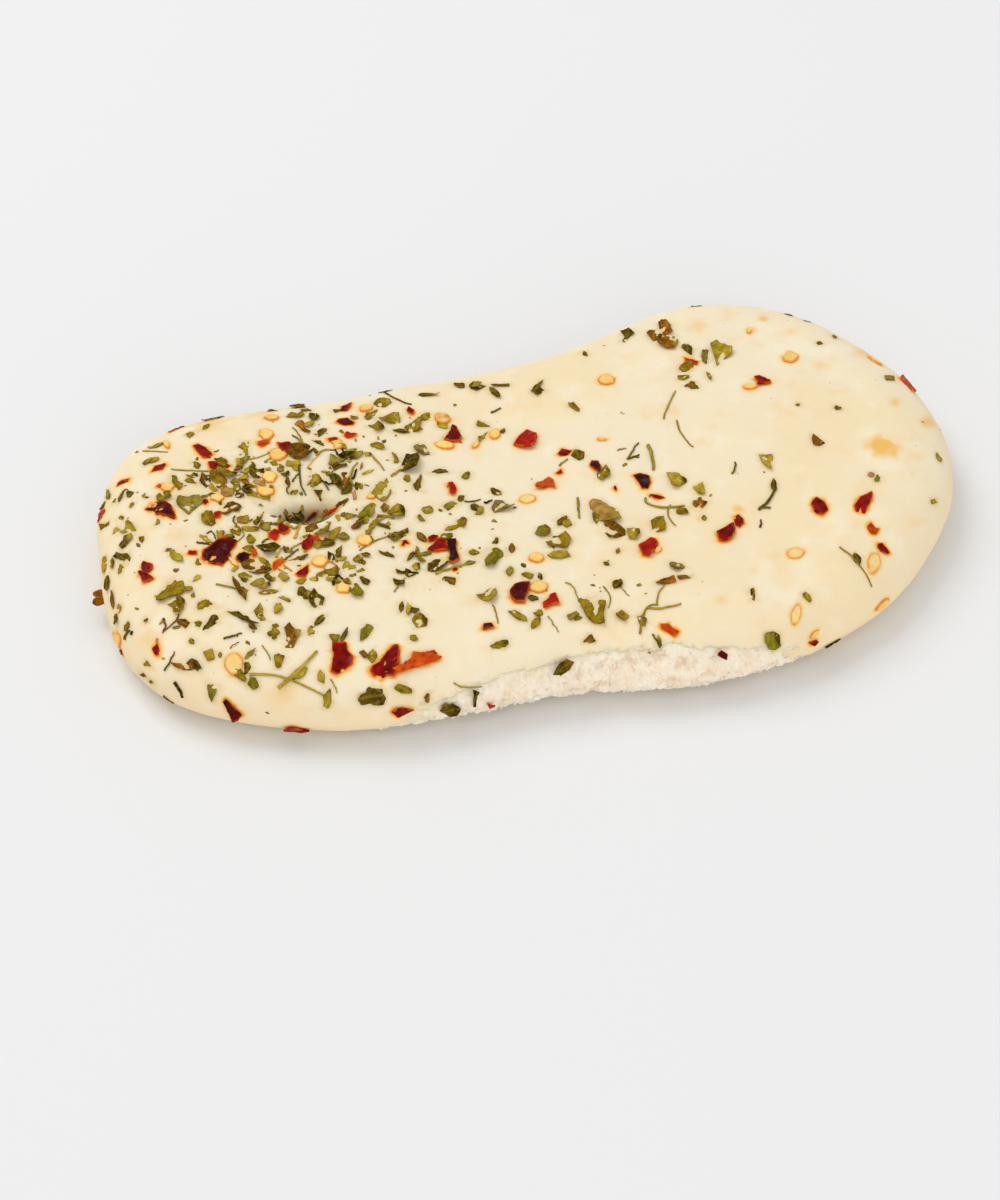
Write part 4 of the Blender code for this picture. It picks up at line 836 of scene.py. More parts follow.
    (-38.4, -1, "olive", (-14, 2, -8, 10, 2, 8, 12, 2, 14, -4, 0, -6, -10, -10)),
    (-30.8, 0.1, "brown", (-10, 5, 0, 14, 10, 3, 4, -7, -6, -15)),
    (-33, -13.8, "dark", (-16, 14, -9, 4, 4, 4, 16, -10, 14, -14, -4, -4, -10, 2)),
    (-28.1, -15.7, "dark", (-11, -13, -1, 7, 9, 13, 11, 3, 1, -7)),
    (-27.5, -18.9, "light", (-9, 3, 1, 13, 9, 9, 7, -7, -3, -12)),
    (-29.5, -20.3, "dark", (-24, 13, -17, 5, -5, 5, -3, 13, 7, 5, 9, -3, 23, 1, 13, -9, -3, -13,
        -7, -1, -21, 1)),
    (-86.8, 13.3, "olive", (-5, -6, 0, 5, 4, 6, 0, -5)),
    (-83.4, 11.2, "olive", (-6, -9, -3, 2, 4, 9, 6, 2, 0, -6)),
    (-80, 13.1, "dark", (-5, -2, 1, 3, 6, -1, 0, -4)),
    (-87.4, 4, "light", (-9, -10, -6, 3, 1, 9, 8, 3, 0, -3)),
    (-82.5, 0.1, "brown", (-6, 8, 5, 10, 4, -1, -2, -10, -6, -1)),
    (-78.7, 5, "olive", (-6, -10, 1, 10, 7, 1, 4, -7)),
    (-89.4, -5.8, "olive", (-5, -11, -3, 7, 3, 17, 5, 4, 1, -18)),
    (-77.5, -4, "brown", (-8, -3, -2, 4, 8, 3, 1, -4)),
    (-89.5, -19.5, "tan", (-5, -8, -6, 3, 0, 14, 5, 7, 3, -4, -3, -13)),
    (-91, -5.9, "gold", (-4, -27, -6, -5, -1, 20, 4, 26, 6, 5)),
    (22.4, -33, "rust", (-22, -2, -9, 7, 21, 8, 23, -6, -4, -9)),
    (26.9, -32.5, "rust", (-17, 7, 16, 3, 14, -4, -15, -6)),
    (-87, -39.2, "black", (-6, 2, 0, 6, 6, -6, 2, -7)),
    (-85.6, -41.5, "black", (-4, 3, 1, 5, 4, -5, -1, -4)),
    (-28, -60.2, "dark", (-21, 1, -7, 18, 3, 13, 8, 16, 15, 9, 22, 2, 18, -7, 10, -16, -5, -18,
        -13, -7)),
    (-22.4, -57.8, "black", (-1, 21, 11, 11, 4, 0, 0, -11, -3, -24, -10, -23, -6, -13, -3, 2)),
)

# %% Twigs: the spots that each one runs through, its thickness and colour
TWIGS = (
    ((33.4, 16.6), (35.0, 20.0), (38.1, 24.9), 0.45, "straw"),
    ((36.0, 15.4), (36.2, 10.6), (37.6, 6.4), 0.45, "straw"),
    ((-66.0, -43.4), (-59.6, -45.2), (-52.4, -51.8), 0.6, "straw"),
    ((-60.6, -48.2), (-56.0, -44.0), (-51.4, -39.4), 0.9, "pale"),
    ((46.8, -15.6), (50.0, -12.6), (52.0, -9.4), 0.7, "herb"),
    ((49.4, -15.4), (48.2, -15.2), (47.0, -15.0), 0.5, "herb"),
    ((60.6, -29.8), (62.8, -34.4), (64.1, -42.6), 0.45, "straw"),
    ((-82.6, -38.9), (-81.2, -36.6), (-79.9, -33.9), 0.45, "herb"),
    ((-73.8, 20.8), (-70.0, 19.6), (-66.0, 18.6), 0.4, "straw"),
    ((-59.6, 21.2), (-55.6, 20.8), (-50.6, 23.0), 0.35, "straw"),
    ((-46.6, 16.8), (-47.2, 12), (-46.7, 7.2), 0.5, "herb"),
    ((-24.9, 37.0), (-23.0, 34.4), (-19.6, 31.7), 0.45, "brown"),
    ((-79.0, 27.8), (-77.0, 27.2), (-74.0, 26.4), 0.35, "straw"),
    ((-3.0, 25.6), (-1.8, 26.2), (-0.6, 26.8), 0.5, "herb"),
    ((24.0, -7.4), (25.4, -10.4), (31.6, -11.4), 0.55, "straw"),
    ((28.6, -10.6), (27.6, -13.6), (28.2, -17.0), 0.45, "straw"),
    ((9.9, -4.6), (9.4, -7.6), (8.9, -11.0), 0.6, "straw"),
    ((22.9, 5.2), (24.4, 7.6), (26.2, 9.9), 0.5, "herb"),
    ((22.8, 5.4), (24.0, 5.6), (25.6, 6.2), 0.5, "herb"),
    ((28.3, 8.6), (28.2, 4.6), (27.6, 0.8), 0.9, "pale"),
    ((21.2, 8.4), (22.4, 8.6), (23.6, 8.8), 0.35, "straw"),
    ((-69.0, -16.2), (-66.8, -17.4), (-64.6, -18.6), 0.45, "straw"),
    ((-69.6, -32.2), (-67.8, -31.8), (-65.8, -31.4), 0.5, "herb"),
    ((-68.8, -35.2), (-67.8, -34.4), (-66.8, -33.6), 0.25, "brown"),
    ((-62.2, -35.8), (-61.6, -37.6), (-61.2, -39.8), 0.35, "straw"),
    ((-50.2, -47.6), (-49.6, -49.4), (-49.4, -51.8), 0.35, "straw"),
    ((-33.2, -25.4), (-32.0, -23.8), (-30.4, -21.8), 0.35, "straw"),
    ((-30.8, -20.2), (-30.0, -20.0), (-27.4, -20.8), 0.5, "dark"),
    ((-24.0, -21.8), (-20.0, -20.6), (-15.2, -19.8), 0.6, "straw"),
    ((-38.2, -11.8), (-35.4, -10.0), (-31.4, -8.8), 0.4, "straw"),
    ((-14.0, -33.0), (-13.8, -35.4), (-13.8, -38.4), 0.4, "straw"),
    ((-3.4, -38.4), (-2.8, -40.8), (-2.2, -43.4), 0.35, "straw"),
    ((2.2, -29.4), (3.4, -31.6), (3.6, -35.4), 0.35, "straw"),
    ((9.4, -32.0), (10.2, -34.4), (9.2, -38.4), 0.35, "straw"),
    ((14.0, -47.0), (16.6, -40.4), (19.4, -39.4), 0.5, "straw"),
    ((19.4, -39.4), (20.4, -36.0), (22.8, -33.6), 0.4, "straw"),
    ((17.0, -40.0), (20.4, -40.6), (24.2, -40.0), 0.55, "straw"),
    ((13.0, -32.2), (13.4, -34.0), (14.2, -35.8), 0.3, "straw"),
    ((43.8, -3.4), (44.8, -2.0), (45.4, 0.0), 0.5, "herb"),
    ((45.6, -20.8), (46.2, -19.8), (46.4, -18.6), 0.5, "brown"),
    ((8.0, 6.0), (9.0, 6.8), (10.4, 7.8), 0.5, "straw"),
    ((-59.2, 9.8), (-56.8, 8.6), (-54.4, 6.9), 0.4, "straw"),
    ((-86.0, -47.4), (-83.6, -46.6), (-83.0, -49.0), 0.4, "herb"),
    ((-14.0, -1.2), (-12.6, -1.4), (-10.4, -1.2), 0.4, "herb"),
    ((-10.0, -2.2), (-9.2, -2.4), (-8.2, -1.8), 0.5, "dark"),
    ((16.4, -47.6), (16.8, -49.0), (17.6, -51.0), 0.5, "herb"),
    ((-25.8, -53.4), (-24.2, -54.9), (-20.6, -55.5), 0.4, "straw"),
    ((-71.3, -3), (-70, -3.5), (-68.4, -4.2), 0.5, "brown"),
    ((-69, -0.6), (-67.8, -0.4), (-67.5, -2.6), 0.35, "herb"),
    ((-62, 0.2), (-61.4, -2.4), (-63.2, -4.2), 0.35, "straw"),
    ((-62.4, 3.6), (-62.9, 2.4), (-62.4, 1), 0.45, "herb"),
    ((-57.6, 0.2), (-56, 0), (-54, -0.8), 0.55, "herb"),
    ((-58, -5.6), (-57.2, -5), (-56.4, -4.4), 0.5, "brown"),
    ((-55.8, -10.6), (-54.8, -9), (-53.6, -7.4), 0.45, "pale"),
    ((-54, -11.6), (-52.4, -10.2), (-50.8, -9), 0.5, "herb"),
    ((-53.4, -9.4), (-51.6, -8.2), (-49.8, -7.2), 0.35, "straw"),
    ((-54.6, -13.2), (-53.8, -14.2), (-53.2, -15.2), 0.5, "amber"),
    ((-55.8, -14), (-55, -15), (-54.2, -15.8), 0.35, "amber"),
    ((-52, -0.8), (-50, -2.2), (-48, -1.6), 0.6, "straw"),
    ((-51, -5.6), (-50, -3.4), (-47, -1.4), 0.6, "amber"),
    ((-40.8, 2.4), (-39.6, 3.4), (-38, 4.4), 0.6, "brown"),
    ((-45.6, -13.6), (-44.2, -14.6), (-43.4, -16.4), 0.5, "amber"),
    ((-46.2, -15), (-46.4, -16), (-45.6, -16.6), 0.4, "amber"),
    ((-45.1, -21), (-44.2, -18.6), (-43, -19.6), 0.6, "dark"),
    ((-33.2, -4.8), (-32, -5.6), (-31, -6.6), 0.8, "herb"),
    ((-34.2, -5.4), (-33, -4), (-31.2, -2.6), 0.6, "straw"),
    ((-32.8, -2), (-31, -2.8), (-29.4, -3.6), 0.7, "straw"),
    ((-49.8, 10.8), (-50.5, 9.4), (-50.2, 8.2), 0.4, "brown"),
    ((-49, 11.8), (-48.2, 13), (-47.3, 14.2), 0.4, "brown"),
    ((-42.6, 11), (-41.6, 10), (-40.4, 9.6), 0.55, "dark"),
    ((-42.4, 10.4), (-42, 9.2), (-41.7, 7.8), 0.5, "herb"),
    ((-36.2, 8), (-36.2, 12), (-34.2, 15.2), 0.5, "straw"),
    ((-36, 10.2), (-35.4, 11.8), (-34.8, 13.1), 0.55, "dark"),
    ((-30.8, 16.8), (-29.8, 14), (-29, 11.6), 0.5, "straw"),
    ((-28, 9.7), (-26.8, 10.4), (-25.6, 11.3), 0.6, "straw"),
    ((-38.4, 20.2), (-38.2, 19.2), (-37.9, 18), 0.5, "dark"),
    ((-36.8, 20.2), (-36.7, 19.4), (-36.4, 18.4), 0.5, "dark"),
    ((-42.4, 19), (-41, 20.4), (-38.4, 20.2), 0.5, "straw"),
    ((-46.4, 29), (-45.4, 26.8), (-45.1, 24.4), 0.4, "straw"),
    ((-46.8, 26.6), (-46, 25.6), (-45.2, 24.4), 0.4, "herb"),
    ((-45.1, 24.6), (-45.2, 23.8), (-45.4, 22.9), 0.9, "straw"),
    ((-45.2, 15.6), (-44, 17), (-42.4, 19), 0.3, "amber"),
    ((-85, 15), (-84.2, 16.2), (-83.6, 16), 0.35, "herb"),
    ((-89.4, -28.6), (-88.9, -27.1), (-88.1, -26.3), 0.6, "herb"),
    ((-88, -27.4), (-87.8, -27), (-87.6, -26.5), 0.6, "dark"),
    ((-91, -23.7), (-90.4, -22.2), (-90.2, -20.9), 0.4, "brown"),
    ((-77.8, -23.4), (-79, -25.6), (-81.8, -28.2), 0.4, "brown"),
    ((-81, -24.2), (-80.8, -26), (-81.4, -27.6), 0.5, "brown"),
    ((-80.9, -42.5), (-80.3, -44.6), (-79.8, -47), 0.8, "dark"),
    ((-82.9, -29.7), (-83.1, -30.4), (-83.2, -31.2), 0.6, "amber"),
)
print(len(CHILLI_SPOTS), "chilli flakes,", len(SEED_SPOTS), "seeds")
print(len(LEAF_SPOTS), "leaves,", len(TWIGS), "twigs")

# %% [markdown]
# ## Finding places on the bread
#
# The skin will be a ball of even triangles with every point moved to its place on the bread, which
# leaves no seam and no pole. A coarse one is made first, because the toppings need something to lie
# on, and the skin in turn has to know where they lie: it is stained round them.

# %% A coarse bread to lay things on
BALL_SUBDIVISIONS = 7
SHEET_HEIGHT = 14.0
MOVE_IN = 0.995  # what a spot past the edge is multiplied by until it meets the bread
ABOVE = 100
OUTSIDE = 60


class Surface:
    """Finds places on the bread."""

    def __init__(self, mesh):
        self.tree = BVHTree.FromBMesh(mesh)

    def seen(self, x, y):
        """The place that EYE sees through a spot of the level sheet. One past the edge moves in."""
        hit = None
        while hit is None:
            sight = (Vector((x, y, SHEET_HEIGHT)) - EYE).normalized()
            hit, normal, _, _ = self.tree.ray_cast(EYE, sight)
            x *= MOVE_IN
            y *= MOVE_IN
        return hit, normal

    def below(self, x, y):
        """The place straight below a spot, or None past the edge."""
        hit, normal, _, _ = self.tree.ray_cast(Vector((x, y, ABOVE)), -UP)
        return hit, normal

    def on_rim(self, turn, angle):
        """The place on the rounded edge that lies angle degrees down from the top."""
        edge, inward = rim(turn)
        out = UP * math.cos(math.radians(angle)) - inward * math.sin(math.radians(angle))
        middle = edge + inward * UPPER_ROUND + Vector((0, 0, RIM_HEIGHT))
        hit, normal, _, _ = self.tree.ray_cast(middle + out * OUTSIDE, -out)
        return hit, normal

    def nearest(self, point):
        near, normal, _, _ = self.tree.find_nearest(point)
        return near, normal


def mapped(ball, duck=0.0):
    """A copy of the ball with every point moved to its place on the bread."""
    mesh = ball.copy()
    for vert in mesh.verts:
        vert.co = ball_to_bread(vert.co.normalized(), duck)
    bmesh.ops.recalc_face_normals(mesh, faces=mesh.faces)
    return mesh


ball = bmesh.new()
bmesh.ops.create_icosphere(ball, subdivisions=BALL_SUBDIVISIONS, radius=1.0)
surface = Surface(mapped(ball))
print("the coarse bread has", len(ball.faces), "triangles")

# %% [markdown]
# ## Laying a loose piece on the bread
#
# Every flake and seed is modelled flat, at the origin, and then laid down: each of its points finds
# the place on the bread under it and keeps its own height above that place. So a leaf follows the
# shoulder of the bread as a limp leaf does. A piece whose outline was read off the photograph is
# laid along the lines of sight instead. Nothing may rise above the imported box, so high points are
# lowered to its top.

# %% Laying and gathering
BOX_MARGIN = 0.02
LIMP = 0.7  # 0 lays a piece stiff and level on its spot, 1 lets it follow the bread
LIP_ROOM, LIP_SLACK = 1.3, 0.3  # in half lengths of the piece, and in millimetres
HEAP_REACH = 0.38  # how far apart, in lengths, two pieces lie on each other
HEAP_STEP = 0.22
HEAP_MOST = 3


def keep_in_box(point):
    """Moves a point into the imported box, and hands it back."""
    for axis in range(3):
        inside = max(BOX_LOW[axis] + BOX_MARGIN, point[axis])
        point[axis] = min(BOX_HIGH[axis] - BOX_MARGIN, inside)
    return point


def axes(normal, turn):
    """The two directions in the bread's own surface for something turned by some degrees."""
    along = Matrix.Rotation(math.radians(turn), 3, "Z") @ Vector((1, 0, 0))
    along = (along - normal * along.dot(normal)).normalized()
    return along, normal.cross(along)


class Heap:
    """Remembers what was laid where, so that a piece laid on others lies a little higher."""

    def __init__(self):
        self.laid = []

    def lift(self, spot, length):
        below = 0
        for other, reach in self.laid:
            below += (spot - other).length < HEAP_REACH * (length + reach)
        self.laid.append((spot, length))
        return HEAP_STEP * min(below, HEAP_MOST)


def lay(mesh, spot, normal, turn, lift=0.0):
    """Lays a flat piece on the bread at a spot, turned by some degrees."""
    along, across = axes(normal, turn)
    for vert in mesh.verts:
        flat = spot + along * vert.co.x + across * vert.co.y
        near, up = surface.nearest(flat)
        high = vert.co.z + lift
        limply = near + normal.lerp(up, 0.5).normalized() * high
        vert.co = keep_in_box((flat + normal * high).lerp(limply, LIMP))


def lay_drawn(mesh, x, y, lift=0.0):
    """Lays a piece so that it shows, from EYE, the outline that was drawn.

    At the pit's lip it holds together: no point lies much nearer or further than its middle."""
    middle, middle_up = surface.seen(x, y)
    far = (middle - EYE).length
    room = LIP_ROOM * max(vert.co.xy.length for vert in mesh.verts) + LIP_SLACK
    for vert in mesh.verts:
        place, up = surface.seen(x + vert.co.x, y + vert.co.y)
        sight = place - EYE
        held = min(max(sight.length, far - room), far + room)
        if held != sight.length:
            place, up = EYE + sight.normalized() * held, middle_up
        vert.co = keep_in_box(place + up * (vert.co.z + lift))


def gather(bundle, mesh):
    """Adds a small mesh to a bundle, with what is painted on it."""
    data = bpy.data.meshes.new("small")
    mesh.to_mesh(data)
    mesh.free()
    bundle.from_mesh(data)
    bpy.data.meshes.remove(data)


# %% Finished pieces
def to_object(mesh, name, material):
    """Turns a bmesh in millimetres into a finished piece, in metres, that rides on the one body."""
    bmesh.ops.scale(mesh, verts=mesh.verts, vec=(MM, MM, MM))
    data = bpy.data.meshes.new(name)
    mesh.to_mesh(data)
    mesh.free()
    data.materials.append(material)
    data.shade_smooth()
    piece = bpy.data.objects.new(name, data)
    bpy.context.scene.collection.objects.link(piece)
    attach(piece, BODY)
    print(name, "has", sum(len(face.vertices) - 2 for face in data.polygons), "triangles")
    return piece


# %% [markdown]
# ## Flakes: the shape of dried and broken things
#
# Dried herbs are broken leaves: some still whole and pointed, some lobed, most of them shards with
# straight broken edges and bites out of them. Dried chilli breaks into sharp shards as well. One
# function makes them all from a small grid whose rings are drawn out to an outline. The flake is
# folded, curled and crinkled, and a second sheet below gives it its thickness. Every outline is a
# function that says how far it is from the middle in each direction.

# %% Made-up outlines
def way(angle):
    return Vector((math.cos(angle), math.sin(angle), 0))


def shard(draw, corners, sharpness=30, ragged=0.07, bites=1):
    """A broken piece: an uneven polygon with bites out of its edge."""
    turn = draw.uniform(0, 2 * math.pi)
    sides, bitten = [], []
    for side in range(corners):
        facing = turn + 2 * math.pi * (side + draw.uniform(-0.28, 0.28)) / corners
        sides.append((facing, draw.uniform(0.5, 1.0)))
    for _ in range(bites):
        at = draw.uniform(0, 2 * math.pi)
        bitten.append((at, draw.uniform(0.12, 0.3), draw.uniform(0.15, 0.45)))
    seat = Vector((draw.uniform(0, 99), draw.uniform(0, 99), 0))

    def reach(angle):
        total = sum(max(0.0, math.cos(angle - facing) / far) ** sharpness for facing, far in sides)
        far = max(total, 1e-9) ** (-1 / sharpness)
        far *= 1 + ragged * noise.noise(way(angle) * 4 + seat)
        for at, wide, deep in bitten:
            far *= 1 - deep * bell(math.remainder(angle - at, 2 * math.pi) / wide)
        return min(far, 1.6)

    return reach


def lobes(draw, count):
    """A leaf with lobes."""
    turn = draw.uniform(0, 2 * math.pi)
    depth = draw.uniform(0.35, 0.6)
    seat = Vector((draw.uniform(0, 99), 0, 0))

    def reach(angle):
        lobe = abs(math.cos(count * (angle - turn) / 2)) ** 0.8
        return (1 - depth + depth * lobe) * (1 + 0.3 * noise.noise(way(angle) * 2 + seat))

    return reach


def lens(draw):
    """A whole leaf, pointed at both ends."""
    seat = Vector((draw.uniform(0, 99), 0, 0))

    def reach(angle):
        across, along = abs(math.sin(angle)), max(0.02, abs(math.cos(angle)))
        far = (math.sqrt(across ** 2 + 4 * along ** 2) - across) / (2 * along ** 2)
        return far * (1 + 0.12 * noise.noise(way(angle) * 3 + seat))

    return reach


# %% Drawn outlines
NEAREST_SIDE, FURTHEST_SIDE = 0.3, 1.42  # a drawn outline keeps between these distances


def is_drawn(form):
    """Three numbers are a length, a width and a turn, and more are the corners of an outline."""
    return len(form) > 3


def drawn(x, y, form):
    """The middle, length, width and outline of a drawn piece, and where its long axis points."""
    corners = [(x + across / 10, y + up / 10) for across, up in zip(form[::2], form[1::2])]
    lows = [min(values) for values in zip(*corners)]
    highs = [max(values) for values in zip(*corners)]
    middle = [(low + high) / 2 for low, high in zip(lows, highs)]
    half = [(high - low) / 2 for low, high in zip(lows, highs)]
    unit = [((a - middle[0]) / half[0], (b - middle[1]) / half[1]) for a, b in corners]
    tip = max(corners, key=lambda corner: math.dist(corner, middle))
    axis = math.atan2(tip[1] - middle[1], tip[0] - middle[0])

    def reach(angle):
        way_x, way_y = math.cos(angle), math.sin(angle)
        far = NEAREST_SIDE
        for (first_x, first_y), (second_x, second_y) in zip(unit, unit[1:] + unit[:1]):
            side_x, side_y = second_x - first_x, second_y - first_y
            slant = way_x * side_y - way_y * side_x
            if abs(slant) > 1e-6:
                along = (first_x * side_y - first_y * side_x) / slant
                share = (first_x * way_y - first_y * way_x) / slant
                if along > 0 and 0 <= share <= 1:
                    far = max(far, along)
        return min(far, FURTHEST_SIDE)

    return middle, 2 * half[0], 2 * half[1], reach, axis


# %% Flake maker
VEIN_GAP = 1.1
VEIN_SLANT = 0.8
OUTLINE_STEPS = 48
RING_SPREAD = 0.8  # below 1, the rings of the grid crowd towards the outline
MOST_CURL = 2.6
SEAT_HEIGHT = 0.06  # height of a flake's lower quarter above the bread


def thicken(mesh, thick):
    """Turns a sheet into a thin closed body, with a second sheet below it and a wall all round."""
    made = bmesh.ops.extrude_face_region(mesh, geom=mesh.faces, use_keep_orig=True)["geom"]
    mesh.normal_update()
    for item in made:
        if isinstance(item, bmesh.types.BMVert):
            item.co -= item.normal * thick
    bmesh.ops.recalc_face_normals(mesh, faces=mesh.faces)


def make_flake(
    length, width, outline, draw,
    cells=(8, 6), thick=0.14, fold=0.4, curl=0.5, crinkle=0.14, tilt=0.1, axis=0.0,
):
    """A broken piece, length by width millimetres. Its points know how near edge and vein are."""
    mesh = bmesh.new()
    bmesh.ops.create_grid(mesh, x_segments=cells[0], y_segments=cells[1], size=1.0)
    edge_layer = mesh.verts.layers.float.new("edge")
    rib_layer = mesh.verts.layers.float.new("rib")
    around = [2 * math.pi * step / OUTLINE_STEPS for step in range(OUTLINE_STEPS)]
    widest = max(outline(angle) * abs(math.cos(angle)) for angle in around)
    highest = max(outline(angle) * abs(math.sin(angle)) for angle in around)
    crease = draw.uniform(-0.35, 0.35)
    crease_off = draw.uniform(-0.15, 0.15) * width
    slope = draw.choice((-1, 1, 1)) * draw.uniform(0.3, 1.0) * fold
    curl_way = draw.uniform(0, 2 * math.pi)
    curl_from = draw.uniform(0.0, 0.25) * length
    curl_round = width * draw.uniform(0.45, 1.0) / max(curl, 0.01)
    lean_x, lean_y = draw.uniform(-tilt, tilt), draw.uniform(-tilt, tilt) * 1.6
    seat = Vector((draw.uniform(0, 99), draw.uniform(0, 99), draw.uniform(0, 99)))
    reaches = {}
    for vert in mesh.verts:
        ring = max(abs(vert.co.x), abs(vert.co.y))
        angle = math.atan2(vert.co.y, vert.co.x)
        if round(angle, 4) not in reaches:
            reaches[round(angle, 4)] = outline(angle)
        far = reaches[round(angle, 4)] * ring ** RING_SPREAD
        x = far * math.cos(angle) / widest * length / 2
        y = far * math.sin(angle) / highest * width / 2
        vert[edge_layer] = ring ** 4
        along = x * math.cos(axis) + y * math.sin(axis)
        across = y * math.cos(axis) - x * math.sin(axis)
        vein = abs(math.sin(math.pi * (along - VEIN_SLANT * abs(across)) / VEIN_GAP))
        vert[rib_layer] = max(smooth(0.28, 0.05, abs(across)), 0.6 * smooth(0.4, 0.0, vein))
        from_crease = across - crease * along - crease_off
        z = slope * (math.hypot(from_crease, 0.2) - 0.2) + lean_x * x + lean_y * y
        z += crinkle * noise.noise(Vector((x, y, 0)) / 1.1 + seat)
        z += 0.4 * crinkle * noise.noise(Vector((x, y, 9)) / 0.5 + seat)
        past = x * math.cos(curl_way) + y * math.sin(curl_way) - curl_from
        if past > 0:
            bent = min(past / curl_round, MOST_CURL)
            back = curl_round * math.sin(bent) - past
            x += back * math.cos(curl_way)
            y += back * math.sin(curl_way)
            z += curl_round * (1 - math.cos(bent))
        vert.co = Vector((x, y, z))
    heights = sorted(vert.co.z for vert in mesh.verts)
    rise = SEAT_HEIGHT - heights[len(heights) // 4]
    bmesh.ops.translate(mesh, verts=mesh.verts, vec=(0, 0, rise))
    bmesh.ops.recalc_face_normals(mesh, faces=mesh.faces)
    thicken(mesh, thick)
    return mesh


# %% The colour of a flake
TIPPED = 0.45  # share of the leaves whose tip has another colour


def blended(first, second, share):
    return tuple(a + (b - a) * share for a, b in zip(first, second))


def tint_flake(mesh, colours, draw, patch=1.4, spread=0.14, tips=()):
    """Writes the colour of each point: two colours in patches, and at times a tip of another."""
    layer = mesh.verts.layers.float_color.new("tint")
    light = 1 + draw.uniform(-spread, spread)
    first, second = (tuple(c * light for c in linear(colour)[:3]) + (1.0,) for colour in colours)
    tip = linear(draw.choice(tips)) if tips and draw.random() < TIPPED else None
    seat = Vector((draw.uniform(0, 99), draw.uniform(0, 99), 0))
    longest = max(abs(vert.co.x) for vert in mesh.verts)
    lean = draw.uniform(-0.5, 0.5)
    for vert in mesh.verts:
        share = 0.5 + lean * vert.co.x / longest + 0.9 * noise.noise(vert.co / patch + seat)
        colour = blended(first, second, min(1.0, max(0.0, share)))
        if tip:
            colour = blended(colour, tip, smooth(0.1, 0.7, vert.co.x / longest))
        vert[layer] = colour


# %% [markdown]
# ## Chilli flakes
#
# A dried chilli is a thick, glossy skin that breaks into sharp shards. They use the same maker as
# the leaves, with few and straight sides, more thickness and less of a fold. The skin is thinnest
# at the broken edge, where light comes through it orange.

# %% Chilli on the bread
CHILLI_COLOURS = {
    "red": ((150, 8, 0), (90, 3, 2)), "bright": ((192, 30, 0), (148, 10, 0)),
    "maroon": ((90, 4, 6), (58, 2, 6)), "orange": ((222, 96, 14), (180, 48, 6)),
    "black": ((44, 10, 14), (28, 8, 10)), "pink": ((196, 76, 52), (150, 34, 24)),
    "plum": ((84, 28, 32), (60, 16, 22)),
}
# lighter red: partly the skin's own tone, partly painted highlight
CHILLI_TONE_AND_HIGHLIGHT = (196, 44, 12)
CHILLI_DARK = (56, 4, 8)
CHILLI_EDGE = (226, 92, 12)
CHILLI_SEED = 8
CHILLI_SWELL = 1.2  # a made-up outline fills less of its length and width than a drawn one
CHILLI_LIFT = 0.1
ON_THE_CRUMB = {  # how much higher the pieces lie that lie on torn crumb
    (-3.5, -53): 0.9, (29, -56): 0.9, (-28, -60.2): 0.5, (-22.4, -57.8): 0.5, (-20, -60.4): 0.5,
}


def make_chillies():
    draw = random.Random(CHILLI_SEED)
    bundle = bmesh.new()
    for x, y, colour, form in CHILLI_SPOTS:
        lift = CHILLI_LIFT + ON_THE_CRUMB.get((x, y), 0.0)
        if is_drawn(form):
            (x, y), length, width, outline, axis = drawn(x, y, form)
        else:
            length, width, turn = form
            axis = 0.0
            corners = draw.choice((4, 4, 5)) if length > width * 1.6 else draw.choice((3, 4, 5, 5))
            outline = shard(draw, corners, sharpness=40, ragged=0.1, bites=draw.choice((0, 0, 1)))
            length, width = length * CHILLI_SWELL, width * CHILLI_SWELL
        thick = min(0.5, 0.22 + 0.05 * length)
        crinkle = 0.35 if length > 6 else 0.12
        cells = (18, 16) if length > 3.2 else (12, 10)
        chip = make_flake(
            length, width, outline, draw, cells, thick,
            fold=0.25, curl=0.2, crinkle=crinkle, tilt=0.06, axis=axis,
        )
        tint_flake(chip, CHILLI_COLOURS[colour], draw, patch=1.6, spread=0.2)
        if is_drawn(form):
            lay_drawn(chip, x, y, lift)
        else:
            spot, normal = surface.seen(x, y)
            lay(chip, spot, normal, turn, lift)
        gather(bundle, chip)
    return bundle


def make_chilli_finish():
    chilli = Finish("dried_chilli", Specular_IOR_Level=0.05, Coat_Roughness=0.12, Coat_IOR=1.35)
    tint = chilli.painted("tint", "Color")
    # lighter red patches: partly the skin's own tone, partly painted highlight
    colour = chilli.blend(chilli.grain(1.1, 3).ramp(0.5, 0.85) * 0.28, tint, CHILLI_TONE_AND_HIGHLIGHT)
    colour = chilli.blend(chilli.grain(0.7, 2).ramp(0.5, 0.75) * 0.5, colour, CHILLI_DARK)
    edge = chilli.painted("edge").ramp(0.35, 1.0) * chilli.grain(2.0, 2).ramp(0.35, 0.6)
    colour = chilli.blend(edge * 0.85, colour, CHILLI_EDGE)
    chilli.feed("Base Color", colour)
    chilli.feed("Roughness", 0.3 + chilli.grain(1.5) * 0.25)
    chilli.feed("Coat Weight", 0.28 * chilli.grain(1.6).ramp(0.5, 0.62))
    chilli.feed("Normal", chilli.bump(chilli.grain(0.45, 3), 0.06))
    return chilli.material


chilli_mesh = make_chillies()
chilli_tree = BVHTree.FromBMesh(chilli_mesh)
to_object(chilli_mesh, "chilli_flakes", make_chilli_finish())

# %% [markdown]
# ## Chilli seeds
#
# A chilli seed is a flat disc with a thicker rim and a small beak where it hung in the pod. It is
# made from a ball, pressed flat and dented in the middle, and shows pale inside an amber ring.

# %% Seed maker
SEED_COLOURS = {
    "pale": (252, 212, 124), "ringed": (248, 216, 154),
    "amber": (250, 200, 104), "brown": (196, 128, 84),
}
SEED_GOLD = (240, 186, 96)
SEED_RING = (228, 142, 46)
SEED_THICKNESS = 1.0
SEED_DENT = 0.4
SEED_BEAK = 0.16
SEED_LIFT = 0.1
SEED_SUNK = 0.22  # how much deeper the ringed seeds lie, of which mostly the ring shows
SEED_SEED = 17


